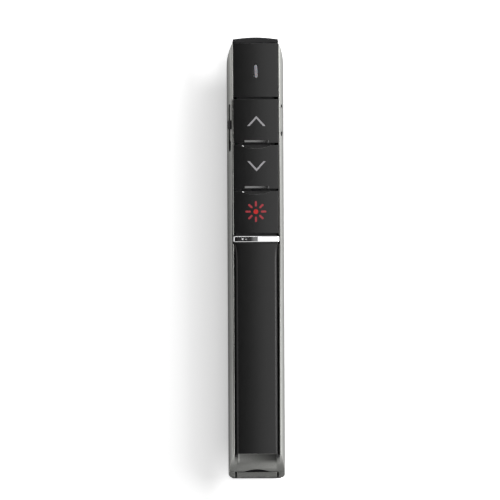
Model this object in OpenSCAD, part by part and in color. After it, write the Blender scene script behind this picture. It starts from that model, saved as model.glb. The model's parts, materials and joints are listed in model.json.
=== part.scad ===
// Wireless presentation clicker: a painted tub with curved rails, three keys, a side switch,
// a side rocker, a sliding battery door and a USB receiver stored in the tail.
// X runs across the body, +Y towards the nose, +Z up from the face that rests on the table.

/* [Body] */
// Length from tail to nose
body_l = 150; // [146:1:190]
// Width at the widest level of the rails
body_w = 19.2; // [18.4:0.2:24]
// Height from the table to the crest of the top face
body_t = 15; // [14.8:0.2:19]
// Wall thickness of the tub
wall = 1.3; // [1.1:0.05:1.5]
// Height of the widest level above the table
widest_z = 5; // [4:0.5:6]
// How far each rail leans in from its widest level to its lip
rail_flare = 1.49; // [1:0.1:2.4]
// Thickness of each rail's lip beside the top face
lip_w = 0.49; // [0.4:0.05:0.8]
// Radius of the long lower corners
foot_r = 3.5; // [2.5:0.1:3.8]
// Height of the crown across the top face
crown_h = 0.5; // [0.3:0.05:0.8]
// Side clearance of the pieces that fit between the rails
fit_gap = 0.12; // [0.08:0.01:0.2]

/* [Top face] */
// Length of the sloped end of the nose
bevel_l = 2; // [1.5:0.1:3]
// Length of the head panel
head_panel_l = 18.25; // [17:0.25:22]
// Length of the page keys
key_l = 14.8; // [14:0.1:17]
// Length of the laser key
laser_key_l = 14.25; // [13.5:0.05:17]
// Gap between neighbouring keys
key_gap = 0.75; // [0.5:0.05:1]
// How far a key goes down
key_travel = 0.5; // [0.3:0.05:0.55]
// Length of the chrome bar along the body
bar_l = 2.85; // [2:0.05:4]
// Thickness of the panels at the crest
panel_t = 1.8; // [1.6:0.1:2.2]
// Width of the grip panel's sloped edges
edge_w = 1.2; // [0.8:0.1:1.6]
// Drop of those edges at their outside
edge_drop = 0.75; // [0.4:0.05:0.9]
// Length over which those edges grow from nothing
edge_run = 6.5; // [4:0.5:10]

/* [Tail] */
// Distance from the tail to the end of the grip panel
scoop_l = 9; // [8.5:0.5:12]
// Height of the ledge over the stored receiver
ledge_z = 7.7; // [7.5:0.1:8.2]
// Depth of the step at the head of the thumb scoop
scoop_step = 2.05; // [1.2:0.05:2.4]
// Width of the receiver's grip
grip_w = 13.7; // [13:0.1:14.2]
// Width of the slit on each side of the receiver's grip
slit_w = 0.55; // [0.3:0.05:0.8]
// Chord of the thumb notch
notch_w = 8.5; // [6:0.5:10]
// Depth of the thumb notch
notch_d = 0.85; // [0.5:0.05:1]

/* [Side controls] */
// Height of the side windows
window_h = 2.8; // [2.4:0.1:3]
// Distance from the nose to the slide switch window
slot_from_nose = 22.6; // [22:0.1:24]
// Length of the slide switch window
slot_l = 16.1; // [14:0.1:18]
// Length of the slider plate
slider_l = 12.4; // [11:0.1:13]
// Length of the slider's thumb nub
nub_l = 3; // [2:0.1:4]
// Length of the rocker window
rocker_window_l = 10.8; // [10:0.1:12]
// Length of the rocker
rocker_l = 8.6; // [8:0.1:9.4]

/* [Stored parts] */
// Diameter of the AAA cell
cell_d = 10.5; // [10:0.1:10.5]
// Length of the AAA cell over its cap
cell_l = 44.5; // [43:0.5:44.5]
// Width of the USB plug
plug_w = 12; // [11.9:0.1:12.1]
// Height of the USB plug
plug_h = 4.5; // [4.4:0.1:4.6]
// Length of the USB plug
plug_l = 14.2; // [12:0.1:14.4]
// Diameter of the laser barrel
barrel_d = 6; // [5:0.1:6.2]
// Length of the laser barrel
barrel_l = 10.2; // [8:0.1:10.2]

/* [Board] */
// Thickness of the circuit board
board_t = 1; // [0.8:0.1:1.2]
// Side of the square key switches
tact_w = 4.5; // [4:0.1:4.8]
// Height of the key switches
tact_h = 1.9; // [1.6:0.1:2]

/* [Hidden] */
$fn = 48;
eps = 0.01;
far = 60;

// Outline of the tub
nose_y = body_l/2;
tail_y = -body_l/2;
lip_drop = 0.05;
lip_z = body_t - crown_h - lip_drop;
lip_rise = lip_z - widest_z;
side_r = (lip_rise*lip_rise + rail_flare*rail_flare)/(2*rail_flare);
lip_angle = asin(lip_rise/side_r);
face_half = body_w/2 - rail_flare - lip_w;
fit_half = face_half - fit_gap;
bar_half = fit_half + lip_w - 0.04;
crown_r = (face_half*face_half + crown_h*crown_h)/(2*crown_h);
nose_round_l = 9.5;
nose_round_r = 17.4;
chin_r = 9;
chin_floor_z = 4.55;
case_nose_y = nose_y - bevel_l - 0.1;
case_tail_y = tail_y + 0.6;
sill_t = 0.2;
foot_chamfer = 0.3;
tail_corner = 1.4;

// Levels, from the top face down
deck_z = body_t - panel_t;
deck_t = 0.8;
deck_half = side_x(deck_z, wall) - 0.1;
key_deck_z = deck_z - 0.6;
key_rest_gap = 0.65;
key_bottom_z = key_deck_z + key_rest_gap;
rebate_z = key_deck_z - 0.1;
board_top_z = deck_z - 3.6;
board_z = board_top_z - board_t;
window_z = body_t - 3.2;

// Stations along the body
bar_gap = 0.03;
panel_y1 = nose_y - bevel_l;
head_y0 = panel_y1 - head_panel_l;
up_y1 = head_y0 - key_gap;
up_y = up_y1 - key_l/2;
down_y = up_y - key_l - key_gap;
laser_y1 = down_y - key_l/2 - key_gap;
laser_y = laser_y1 - laser_key_l/2;
bar_y1 = laser_y1 - laser_key_l - key_gap;
bar_y0 = bar_y1 - bar_l;
grip_y1 = bar_y0 - 0.15;
grip_y0 = tail_y + scoop_l;
frame_y1 = nose_y - 14.6;
cap_y0 = frame_y1 + 0.2;

// Tail
slope_top = [grip_y0 - 0.3, lip_z];
slope_foot = [case_tail_y + 1.95, ledge_z];
slope = (slope_top[1] - slope_foot[1])/(slope_top[0] - slope_foot[0]);
scoop_flush_y = grip_y0 - 3.7;
scoop_flush_z = slope_foot[1] + slope*(scoop_flush_y - slope_foot[0]);
scoop_top_z = lip_z - scoop_step;
scoop_half = fit_half - edge_w + 0.25;
scoop_half_tail = grip_w/2 + 0.2;
roof_t = 1.2;
notch_r = (notch_w*notch_w/4 + notch_d*notch_d)/(2*notch_d);
prong_l = 1.2;
sill_z = wall + sill_t;

// Receiver
grip_half = grip_w/2;
tail_window_half = grip_half + slit_w;
receiver_gap = 0.06;
grip_y_in = slope_foot[0] - receiver_gap;
plug_z = sill_z + 0.45 + plug_h/2;
plug_tip_y = grip_y_in + plug_l;
plug_gap = 0.15;
plug_slot_half = plug_w/2 + plug_gap;
plug_slot_z0 = plug_z - plug_h/2 - plug_gap;
plug_slot_z1 = plug_z + plug_h/2 + plug_gap;
plug_wall = 0.3;
dock_y0 = slope_foot[0] + 0.95;
dock_y1 = plug_tip_y + 0.45;
dock_wall = 0.35;
dock_top_z = plug_slot_z1 + dock_wall;

// Battery
door_half = 5.7;
door_gap = 0.1;
door_lip_z = 0.8;
door_tongue = 0.6;
cell_y0 = tail_y + 25.6;
cell_cap_l = 0.8;
cell_y1 = cell_y0 + cell_l;
door_y1 = cell_y1 + 6.4;
cell_z = wall + 0.35 + cell_d/2;
cell_gap = 0.2;
seat_d = cell_d + 2*cell_gap;
plate_t = 0.3;
plate_gap = 0.05;
rear_plate_half = 4.5;
front_plate_half = 4;
tab_half = 1.2;
spring_l = 4;
spring_y0 = cell_y0 - spring_l;
bridge_t = 1.15;
bridge_l = 3.4;
bridge_z = wall + 0.15;
rear_screw_y = tail_y + 19.3;
front_screw_y = cell_y1 + 2.8;
cradle_gap = 0.15;
cradle_y1 = cell_y1 + 4.6;
lead_r = 0.45;
lead_x = body_w/2 - wall - 1.3;
lead_z = bridge_z + bridge_t + lead_r + 0.05;

// Board and key works
frame_y0 = max(bar_y0 - 1.5, cradle_y1 + 0.1);
board_y0 = cradle_y1 + 0.5;
board_y1 = nose_y - 12.8;
board_half = min(6.5, side_x(board_z, wall) - 0.6);
stem_d = 1.9;
stem_up = 0.65;
stem_in = 0.5;
stem_gap = 0.05;
post_d = 2.6;
post_z = board_top_z + tact_h + stem_up;
peg_d = 1.6;
peg_x = fit_half - 2.9;
peg_inset = 1.2;
peg_depth = 0.3;
peg_gap = 0.1;
screw_d = 1.6;
screw_head_d = 3;
screw_gap = 0.05;
boss_d = 4.2;
leg_d = 2.4;
frame_screw_ys = [down_y - key_l/2 - key_gap/2, head_y0 + 1.6];
leg_spots = [[5.2, frame_screw_ys[0]], [5.2, frame_screw_ys[1] + 0.6], [5.2, bar_y0 + 2.2]];

// Side controls
slot_y1 = nose_y - slot_from_nose;
slot_y = slot_y1 - slot_l/2;
slide_gap = 0.25;
slider_y = slot_y1 - slide_gap - slider_l/2;
slide_travel = slot_l - slider_l - 2*slide_gap;
slider_sink = 0.35;
slide_clear = 0.12;
nub_y = slider_y - 0.55;
nub_proud = 0.12;
nub_ribs = 3;
nub_rib_pitch = 0.8;
flange_t = 0.7;
flange_gap = 0.1;
fork_w = 2.6;
lever_w = 1.6;
switch_h = 1.6;
switch_half = 1.6;
switch_x = -(board_half - 0.3 - switch_half);
switch_y = slider_y - slide_travel/2;
rocker_window_y = slot_y1 - 0.1 - rocker_window_l/2;
rocker_y = rocker_window_y + 0.3;
rocker_pin_x = board_half - 1;
rocker_pin_d = 1;
pin_gap = 0.03;
rocker_in = wall + 0.75;
volume_switch_dy = 3.2;

// Nose
laser_z = body_t/2 + 0.5;
barrel_y0 = nose_y - 11.4;
barrel_gap = 0.05;
lens_d = barrel_d - 1.6;
lens_seat_y = barrel_y0 + barrel_l - 4;
aperture_d = 4.2;
ring_d = 6;
ring_t = 0.7;
ring_y0 = nose_y - ring_t - 0.25;
neck_z = chin_floor_z + 0.05;
nose_bow = 0.7;
nose_drop = 0.12;
window_l = 4.7;
window_w = 1.3;
window_y = nose_y - 11.45;
window_gap = 0.03;
pipe_z = board_top_z + 1.95;

// ---- outline functions ----

function arc(cx, cy, r, a0, a1, n = 10) =
    [for (i = [0:n]) let (a = a0 + (a1 - a0)*i/n) [cx + r*cos(a), cy + r*sin(a)]];

// Adds the mirror image of a right-hand half outline
function both_sides(half) = concat(half, [for (i = [len(half) - 1:-1:0]) [-half[i][0], half[i][1]]]);

// Half width of the tub at a height, taken in by an inset
function side_x(z, inset = 0) =
    z < widest_z ? body_w/2 - inset
                 : body_w/2 - side_r + sqrt(pow(side_r - inset, 2) - pow(z - widest_z, 2));

// Height of the crowned top face at a distance from the middle
function crown_z(x) = body_t - crown_r + sqrt(crown_r*crown_r - x*x);

// Outline across the tub, taken in by an inset
function tub_outline(inset = 0) = both_sides(concat(
    arc(body_w/2 - foot_r, foot_r, foot_r - inset, -90, 0, 8),
    arc(body_w/2 - side_r, widest_z, side_r - inset, 0, lip_angle, 10)));

// Outline of what lies under the crown, between two half widths and above a level
function crowned_outline(half, z0, lift = 0) = concat(
    [[-half, z0], [half, z0]],
    arc(0, body_t - crown_r + lift, crown_r, 90 - asin(half/crown_r), 90 + asin(half/crown_r), 12));

// ---- placing helpers ----

// Extrudes an outline across the body (x, z) from y0 to y1
module along_y(y0, y1) {
    translate([0, y1, 0]) rotate([90, 0, 0]) linear_extrude(y1 - y0) children();
}

// Extrudes an outline along the body (y, z) from x0 to x1
module across_x(x0, x1) {
    translate([x0, 0, 0]) rotate([90, 0, 90]) linear_extrude(x1 - x0) children();
}

module box(x0, x1, y0, y1, z0, z1) {
    translate([x0, y0, z0]) cube([x1 - x0, y1 - y0, z1 - z0]);
}

module rod(d, x, y, z0, z1) {
    translate([x, y, z0]) cylinder(d = d, h = z1 - z0);
}

// A round bar along the body's middle plane
module rod_y(d, y0, y1, z) {
    translate([0, y0, z]) rotate([-90, 0, 0]) cylinder(d = d, h = y1 - y0);
}

// A bar with round ends, centred
module slot_2d(l, h) {
    square([l - h, h], center = true);
    for (s = [-1, 1])
        translate([s*(l - h)/2, 0]) circle(d = h);
}

// A window through one side wall, or what fits it, with round ends
module side_slot(x0, x1, y, z, l, h) {
    across_x(x0, x1) translate([y, z]) slot_2d(l, h);
}

// Walls of the tub from the foot up to a level, taken in by an inset
function inner_outline(inset, z1) = both_sides(concat(
    arc(body_w/2 - foot_r, foot_r, foot_r - inset, -90, 0, 8),
    arc(body_w/2 - side_r, widest_z, side_r - inset, 0, asin((z1 - widest_z)/(side_r - inset)), 10)));

// The tub's outline as a solid, between an outer and an inner inset
module tub_layer(outer, inner, y0, y1) {
    difference() {
        along_y(y0, y1) polygon(tub_outline(outer));
        along_y(y0 - 1, y1 + 1) polygon(tub_outline(inner));
    }
}

// ---- tub ----

// Plan of the tub: rounded in at the nose, cut corners at the tail
module tub_plan() {
    half = body_w/2;
    nose_arc = arc(half - nose_round_r, nose_y - nose_round_l, nose_round_r, 0,
                   asin((case_nose_y - nose_y + nose_round_l)/nose_round_r), 8);
    polygon(both_sides(concat(
        [[half - tail_corner, tail_y], [half, tail_y + tail_corner]], nose_arc)));
}

// Side view of the tub
module tub_side() {
    chin = arc(nose_y - nose_round_l, chin_r, chin_r, -90,
               -90 + asin((case_nose_y - nose_y + nose_round_l)/chin_r), 8);
    polygon(concat(
        [[tail_y, foot_chamfer], [tail_y + foot_chamfer, 0]], chin,
        [[case_nose_y, lip_z], slope_top, slope_foot,
         [case_tail_y + foot_chamfer, ledge_z], [case_tail_y, ledge_z - foot_chamfer],
         [case_tail_y, sill_z], [tail_y, sill_z]]));
}

// The hollow of the tub in side view, under the tail's roof
module hollow_side() {
    polygon([
        [dock_y0 - 0.05, wall], [dock_y0 - 0.05, ledge_z - 0.35],
        [scoop_flush_y, scoop_flush_z - roof_t], [grip_y0 + eps, scoop_top_z - roof_t],
        [grip_y0 + eps, far], [case_nose_y + 1, far], [case_nose_y + 1, chin_floor_z],
        [case_nose_y, chin_floor_z], [nose_y - nose_round_l + 0.5, wall]]);
}

module tub_hollow() {
    intersection() {
        along_y(tail_y, nose_y + 5) polygon(inner_outline(wall, deck_z));
        across_x(-far, far) hollow_side();
    }
}

// What is left solid beside the nose's neck, where the rails round in
module nose_cheeks() {
    inner = fit_half - 0.6;
    for (s = [-1, 1])
        translate([s*(inner + far/2), nose_y, 0]) cube([far, 2*nose_round_l, 2*far], center = true);
}

// The thumb scoop between the cheeks, widening towards the tail
module scoop() {
    intersection() {
        across_x(-far, far) polygon([
            [grip_y0 - eps, scoop_top_z], [scoop_flush_y, scoop_flush_z],
            slope_foot, [slope_foot[0], far], [grip_y0 - eps, far]]);
        linear_extrude(far) polygon(both_sides([[scoop_half_tail, slope_foot[0]], [scoop_half, grip_y0]]));
    }
}

// A thumbnail's notch in the ledge over the receiver
module notch() {
    intersection() {
        rod(2*notch_r, 0, slope_foot[0] + notch_d - notch_r, plug_slot_z1 + 0.1, far);
        box(-far, far, slope_foot[0] - eps, slope_foot[0] + notch_d + 1, 0, far);
    }
}

module case_body() {
    color([0.42, 0.42, 0.40]) difference() {
        union() {
            difference() {
                intersection() {
                    along_y(tail_y, case_nose_y) polygon(tub_outline());
                    linear_extrude(far) tub_plan();
                    across_x(-far, far) tub_side();
                }
                difference() {
                    tub_hollow();
                    nose_cheeks();
                }
                // seat of the top pieces between the lips
                box(-face_half, face_half, grip_y0 - prong_l - 0.05, nose_y, deck_z, far);
                box(-face_half, face_half, bar_y0, head_y0, rebate_z, far);
                // room for the chrome bar over the lips
                box(-bar_half - bar_gap, bar_half + bar_gap, bar_y0 - bar_gap, bar_y1 + bar_gap, deck_z, far);
            }
            case_inside();
        }
        scoop();
        // end window of the receiver, and the way in for its plug
        box(-tail_window_half, tail_window_half, tail_y - 1, slope_foot[0], sill_z, far);
        box(-plug_slot_half, plug_slot_half, tail_y, dock_y0 + 1, plug_slot_z0, plug_slot_z1);
        notch();
        // battery door opening, stepped for the door's tongues
        box(-door_half - door_gap, door_half + door_gap, tail_y - 1, door_y1 + door_gap, -1, door_lip_z);
        box(-door_half - door_tongue - door_gap, door_half + door_tongue + door_gap,
            tail_y - 1, door_y1 + door_gap, door_lip_z, wall + 0.1);
        // side windows
        side_slot(-far, -fit_half + 1.5, slot_y, window_z, slot_l, window_h);
        side_slot(fit_half - 1.5, far, rocker_window_y, window_z, rocker_window_l, window_h);
        // screw holes
        for (y = [rear_screw_y, front_screw_y]) {
            rod(screw_d + 2*screw_gap, 0, y, 0, 4);
            translate([0, y, bridge_z - eps]) cylinder(d1 = screw_head_d + 0.2, d2 = screw_d, h = 0.75);
        }
    }
}

// Bridges over the door, and bosses under the board
module case_inside() {
    for (y = [rear_screw_y, front_screw_y])
        intersection() {
            box(-far, far, y - bridge_l/2, y + bridge_l/2, bridge_z, bridge_z + bridge_t);
            along_y(tail_y, nose_y) polygon(tub_outline(wall/2));
        }
    for (y = frame_screw_ys)
        difference() {
            rod(boss_d, 0, y, wall/2, board_z);
            rod(screw_d + 2*screw_gap, 0, y, board_z - 5, board_z + 1);
        }
}

// ---- nose ----

// Plan of the nose, bowed at the front
module nose_plan(half, y0) {
    corner = 0.6;
    bow_r = (fit_half*fit_half + nose_bow*nose_bow)/(2*nose_bow);
    a = asin((half - corner)/bow_r);
    polygon(concat(
        [[-half, y0], [half, y0], [half, nose_y - nose_bow - corner]],
        arc(0, nose_y - bow_r, bow_r, 90 - a, 90 + a, 10),
        [[-half, nose_y - nose_bow - corner]]));
}

// The cap that closes the nose, holds the laser and carries the front of the head panel
module nose_cap() {
    flange_half = face_half + 0.1;
    neck_half = fit_half - 0.75;
    face_z0 = chin_floor_z - 0.85;
    color([0.09, 0.09, 0.09]) difference() {
        union() {
            // face, with the slope that meets the head panel
            intersection() {
                linear_extrude(far) nose_plan(flange_half, case_nose_y + 0.05);
                along_y(case_nose_y, nose_y) polygon(crowned_outline(flange_half, face_z0));
                across_x(-far, far) polygon([
                    [case_nose_y, face_z0], [nose_y - 0.9, face_z0 + 0.2], [nose_y, face_z0 + 1.2],
                    [nose_y, body_t - 2.4], [panel_y1 + 0.06, body_t - nose_drop],
                    [panel_y1 + 0.06, deck_z], [case_nose_y, deck_z]]);
            }
            // neck inside the tub
            intersection() {
                box(-neck_half, neck_half, barrel_y0 - 0.2, case_nose_y + 0.06, neck_z, deck_z);
                along_y(cap_y0, nose_y) polygon(tub_outline(wall + cradle_gap));
            }
            // shelf under the head panel
            box(-neck_half, neck_half, cap_y0, barrel_y0, deck_z - deck_t, deck_z);
        }
        rod_y(barrel_d + 2*barrel_gap, barrel_y0 - 1, barrel_y0 + barrel_l + 0.1, laser_z);
        rod_y(aperture_d, barrel_y0, nose_y + 1, laser_z);
        rod_y(ring_d + 0.04, ring_y0, nose_y + 1, laser_z);
        box(-window_w/2 - 0.1, window_w/2 + 0.1, window_y - window_l/2 - 0.1, window_y + window_l/2 + 0.1,
            pipe_z - 0.1, far);
    }
}

module aperture_ring() {
    flare = 0.35;
    color([0.72, 0.72, 0.74]) difference() {
        rod_y(ring_d, ring_y0, ring_y0 + ring_t, laser_z);
        rod_y(aperture_d, ring_y0 - 1, nose_y + 1, laser_z);
        translate([0, ring_y0 + ring_t - flare, laser_z]) rotate([-90, 0, 0])
            cylinder(d1 = aperture_d, d2 = aperture_d + 2*flare, h = flare + eps);
    }
}

module laser_window() {
    color([0.55, 0.12, 0.12, 0.6]) rod_y(aperture_d - 0.02, ring_y0, ring_y0 + 0.3, laser_z);
}

// Brass barrel with a stepped bore
module laser_barrel() {
    color([0.72, 0.58, 0.28]) difference() {
        rod_y(barrel_d, barrel_y0, barrel_y0 + barrel_l, laser_z);
        rod_y(lens_d, lens_seat_y, nose_y, laser_z);
        rod_y(barrel_d - 3, barrel_y0 + 2, nose_y, laser_z);
    }
}

module laser_lens() {
    color([0.75, 0.8, 0.85, 0.5]) rod_y(lens_d - 0.04, lens_seat_y + 0.1, lens_seat_y + 1.6, laser_z);
}

// Two short leads from the back of the barrel to the board
module laser_leads() {
    r = 0.3;
    x = 1.8;
    low_z = board_top_z - 0.4;
    high_z = board_top_z + r + 0.02;
    bend_y = board_y1 + 0.6;
    color([0.7, 0.1, 0.08]) for (s = [-1, 1])
        bent_rod(r, [[s*x, barrel_y0, low_z], [s*x, bend_y, low_z], [s*x, bend_y, high_z],
                     [s*x, board_y1 - 1.6, high_z]]);
}

// Turns +Z to a direction that lies along one axis
function aim(d) = [d[1] == 0 ? (d[2] < 0 ? 180 : 0) : -90*sign(d[1]), 90*sign(d[0]), 0];

// Round rods between points, each along one axis, with ball joints
module bent_rod(r, p) {
    for (i = [0:len(p) - 2])
        translate(p[i]) rotate(aim(p[i + 1] - p[i])) cylinder(r = r, h = norm(p[i + 1] - p[i]));
    for (i = [1:len(p) - 2])
        translate(p[i]) sphere(r = r);
}

// ---- top face ----

module head_panel() {
    color([0.10, 0.10, 0.10]) difference() {
        intersection() {
            along_y(head_y0, panel_y1) polygon(crowned_outline(fit_half, deck_z));
            across_x(-far, far) polygon([
                [head_y0, deck_z], [panel_y1, deck_z], [panel_y1, body_t - nose_drop],
                [panel_y1 - 0.15, body_t + eps], [head_y0, body_t + eps]]);
        }
        window_column(deck_z - 1, window_gap);
    }
}

// Upright column with the status window's plan, grown by a gap
module window_column(z0, gap) {
    translate([0, window_y, z0]) linear_extrude(far) rotate(90) slot_2d(window_l + 2*gap, window_w + 2*gap);
}

module status_window() {
    sink = 0.02;
    color([0.8, 0.8, 0.86, 0.9]) intersection() {
        window_column(pipe_z, 0);
        along_y(tail_y, nose_y) polygon(crowned_outline(fit_half, 0, -sink));
    }
}

// Plan of the grip panel's flat: full width at the bar, narrowing along a curve
function flat_half(y) =
    let (t = min(1, max(0, (grip_y1 - y)/edge_run))) fit_half - edge_w*sqrt(1 - (1 - t)*(1 - t));

// Black panel with sloped edges that start from nothing at the chrome bar
module grip_panel() {
    run_n = 8;
    step = edge_run/run_n;
    color([0.10, 0.10, 0.10]) intersection() {
        difference() {
            along_y(grip_y0 - prong_l, grip_y1) polygon(crowned_outline(fit_half, deck_z));
            for (s = [-1, 1]) {
                // the sloped edge, in short steps along its run and then straight
                for (i = [0:run_n - 1])
                    edge_cut(s, grip_y1 - step*(i + 1), grip_y1 - step*i);
                edge_cut(s, grip_y0 - prong_l - 1, grip_y1 - edge_run);
            }
            box(-scoop_half, scoop_half, grip_y0 - 5, grip_y0, 0, far);
        }
        across_x(-far, far) polygon([
            [grip_y0 - prong_l, deck_z], [grip_y1, deck_z], [grip_y1, far], [slope_top[0] + 0.5, far],
            [slope_top[0], lip_z], [grip_y0 - prong_l, lip_z - slope*(slope_top[0] - grip_y0 + prong_l)]]);
    }
}

// A wedge that takes the corner off one edge between two stations
module edge_cut(side, y0, y1) {
    half = flat_half(y0);
    drop = edge_drop*(fit_half - half + 1)/edge_w;
    along_y(y0, y1) polygon([
        [side*half, crown_z(half)], [side*(fit_half + 1), crown_z(fit_half) - drop],
        [side*(fit_half + 1), far], [side*half, far]]);
}

// Bright bar across the body, let into the lips, with bevelled edges
module chrome_bar() {
    bevel = 0.35;
    lift = 0.15;
    side_z = lip_z - 0.05;
    color([0.85, 0.85, 0.87]) intersection() {
        along_y(bar_y0, bar_y1) polygon(crowned_outline(bar_half, deck_z, lift));
        across_x(-far, far) polygon([
            [bar_y0, deck_z], [bar_y1, deck_z], [bar_y1, side_z], [bar_y1 - bevel, body_t + lift],
            [bar_y0 + bevel, body_t + lift], [bar_y0, side_z]]);
    }
}

// ---- keys ----

// A key cap: crowned, hollow below, with a post over its switch and two pegs
module key_cap(y, l, ridge, dimple) {
    y0 = y - l/2;
    y1 = y + l/2;
    skirt = 1;
    pocket_h = 0.4;
    dimple_w = 9.4;
    dimple_l = 1;
    dimple_r = (dimple_w*dimple_w/4 + dimple_l*dimple_l)/(2*dimple_l);
    color([0.10, 0.10, 0.10]) {
        difference() {
            union() {
                along_y(y0, y1) polygon(crowned_outline(fit_half, key_bottom_z));
                if (ridge)
                    key_ridge(y0);
            }
            box(-fit_half + skirt, fit_half - skirt, y0 + skirt, y1 - skirt, 0, key_bottom_z + pocket_h);
            if (dimple)
                rod(2*dimple_r, 0, y1 - dimple_l + dimple_r, body_t - 0.32, far);
        }
        rod(post_d, 0, y, post_z, key_bottom_z + pocket_h + eps);
        for (p = peg_spots(y, l))
            rod(peg_d, p[0], p[1], key_deck_z - peg_depth, key_bottom_z + pocket_h + eps);
    }
}

// Where a key's four guide pegs stand
function peg_spots(y, l) = [for (sx = [-1, 1], sy = [-1, 1]) [sx*peg_x, y + sy*(l/2 - peg_inset - peg_d/2)]];

// The raised bar that a thumb feels between two keys
module key_ridge(y0) {
    ridge_half = 4.4;
    ridge_l = 0.8;
    ridge_h = 0.28;
    ridge_top = body_t + ridge_h;
    intersection() {
        across_x(-ridge_half, ridge_half) polygon([
            [y0, body_t - 0.6], [y0 + ridge_l + 0.2, body_t - 0.6], [y0 + ridge_l, body_t - 0.1],
            [y0 + ridge_l*0.6, ridge_top], [y0 + ridge_l*0.35, ridge_top], [y0, body_t]]);
        along_y(y0 - 1, y0 + 3) polygon(both_sides([
            [ridge_half, body_t - 1], [ridge_half, body_t - 0.15], [ridge_half - 0.5, ridge_top]]));
    }
}

module page_up_key() { key_cap(up_y, key_l, true, false); }
module page_down_key() { key_cap(down_y, key_l, true, true); }
module laser_key() { key_cap(laser_y, laser_key_l, false, true); }

module switch_stem(y) {
    color([0.85, 0.83, 0.78]) rod(stem_d, 0, y, board_top_z + tact_h - stem_in, post_z);
}

module page_up_stem() { switch_stem(up_y); }
module page_down_stem() { switch_stem(down_y); }
module laser_key_stem() { switch_stem(laser_y); }

// ---- inner frame ----

// Deck under the keys, with holes for posts and pegs, and legs down to the board
module key_frame() {
    notch_half = min(board_half - 0.3, side_x(key_deck_z, wall + flange_gap + flange_t) - 0.2);
    color([0.13, 0.13, 0.13]) difference() {
        union() {
            box(-deck_half, deck_half, frame_y0, frame_y1, key_deck_z - deck_t, key_deck_z);
            box(-deck_half, deck_half, frame_y0, bar_y1 + 0.1, rebate_z, deck_z);
            box(-deck_half, deck_half, head_y0 + 0.1, frame_y1, rebate_z, deck_z);
            for (p = leg_spots, s = [-1, 1])
                rod(leg_d, s*min(p[0], board_half - leg_d/2), p[1], board_top_z, key_deck_z - deck_t + 0.1);
        }
        for (y = [up_y, down_y, laser_y])
            rod(post_d + 0.6, 0, y, 0, far);
        for (p = concat(peg_spots(up_y, key_l), peg_spots(down_y, key_l), peg_spots(laser_y, laser_key_l)))
            rod(peg_d + 2*peg_gap, p[0], p[1], 0, key_deck_z + 0.05);
        // room for the slider and the rocker
        box(-far, -notch_half, slot_y - slot_l/2 - 2, head_y0 + 0.05, 0, far);
        box(notch_half, far, slot_y - slot_l/2 - 2, head_y0 + 0.05, 0, far);
        rod(rocker_pin_d + 0.02, rocker_pin_x, rocker_y, 0, key_deck_z - 0.3);
        for (y = frame_screw_ys) {
            rod(screw_d + 2*screw_gap, 0, y, 0, far);
            translate([0, y, key_deck_z - 0.75]) cylinder(d1 = screw_d, d2 = screw_head_d + 0.2, h = 0.8);
            rod(screw_head_d + 0.2, 0, y, key_deck_z, far);
        }
    }
}

// Trough around the cell, with the deck that carries the grip panel
module battery_cradle() {
    low_z = wall + 0.2;
    body_y0 = rear_screw_y - bridge_l/2 + 0.1;
    color([0.13, 0.13, 0.13]) difference() {
        union() {
            intersection() {
                along_y(body_y0, cradle_y1) polygon(inner_outline(wall + cradle_gap, deck_z));
                box(-far, far, body_y0, cradle_y1, low_z, far);
            }
            // deck over the dock and over the start of the board
            box(-deck_half, deck_half, grip_y0 + 0.05, frame_y0 - 0.1, deck_z - deck_t, deck_z);
            // ribs from the deck to the dock
            for (x = [-4, 4], y = [dock_y1 - 3, dock_y1 - 6])
                box(x - 0.4, x + 0.4, y, y + 2, dock_top_z + 0.05, deck_z - deck_t + eps);
        }
        // the cell's seat, open below
        rod_y(seat_d, spring_y0, cell_y1, cell_z);
        box(-seat_d/2, seat_d/2, spring_y0, cell_y1, 0, cell_z);
        // slots for the two contact plates
        plate_slot(rear_plate_half, spring_y0 - plate_t - plate_gap, spring_y0 + eps);
        plate_slot(front_plate_half, cell_y1 - eps, cell_y1 + plate_t + plate_gap);
        // bridges and their screws
        for (y = [rear_screw_y, front_screw_y]) {
            box(-far, far, y - bridge_l/2 - 0.1, y + bridge_l/2 + 0.1, 0, bridge_z + bridge_t + 0.05);
            rod(screw_d + 2*screw_gap, 0, y, 0, bridge_z + 5.6);
        }
        // channel for the negative lead, and room for the contact's tab to reach the board
        box(lead_x - lead_r - 0.2, far, spring_y0 - 1, cradle_y1 + 1, 0, lead_z + lead_r + 0.2);
        box(-tab_half - 0.4, tab_half + 0.4, cell_y1 + plate_t, cradle_y1 + 1,
            board_z - 0.6, board_top_z + plate_t + 0.4);
    }
}

// The slot in the cradle that a contact plate drops into from below
module plate_slot(half, y0, y1) {
    box(-half - 0.1, half + 0.1, y0, y1, 0, cell_z + half + 0.1);
}

// Sleeve that holds the stored plug
module receiver_dock() {
    half = plug_slot_half + dock_wall;
    color([0.07, 0.07, 0.07]) difference() {
        intersection() {
            box(-half, half, dock_y0, dock_y1, sill_z, dock_top_z);
            along_y(tail_y, nose_y) polygon(tub_outline(wall + 0.02));
        }
        box(-plug_slot_half, plug_slot_half, dock_y0 - 1, dock_y1 - 0.25, plug_slot_z0, plug_slot_z1);
    }
}

// ---- board and what is on it ----

module main_board() {
    color([0.05, 0.30, 0.14]) difference() {
        box(-board_half, board_half, board_y0, board_y1, board_z, board_top_z);
        for (y = frame_screw_ys)
            rod(screw_d + 2*screw_gap, 0, y, 0, far);
        rod(rocker_pin_d + 0.02, rocker_pin_x, rocker_y, board_z - 1, far);
    }
}

module key_switches() {
    color([0.16, 0.16, 0.17]) for (y = [up_y, down_y, laser_y])
        difference() {
            box(-tact_w/2, tact_w/2, y - tact_w/2, y + tact_w/2, board_top_z, board_top_z + tact_h);
            rod(stem_d + 2*stem_gap, 0, y, board_top_z + tact_h - stem_in - key_travel - 0.2, far);
        }
}

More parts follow.
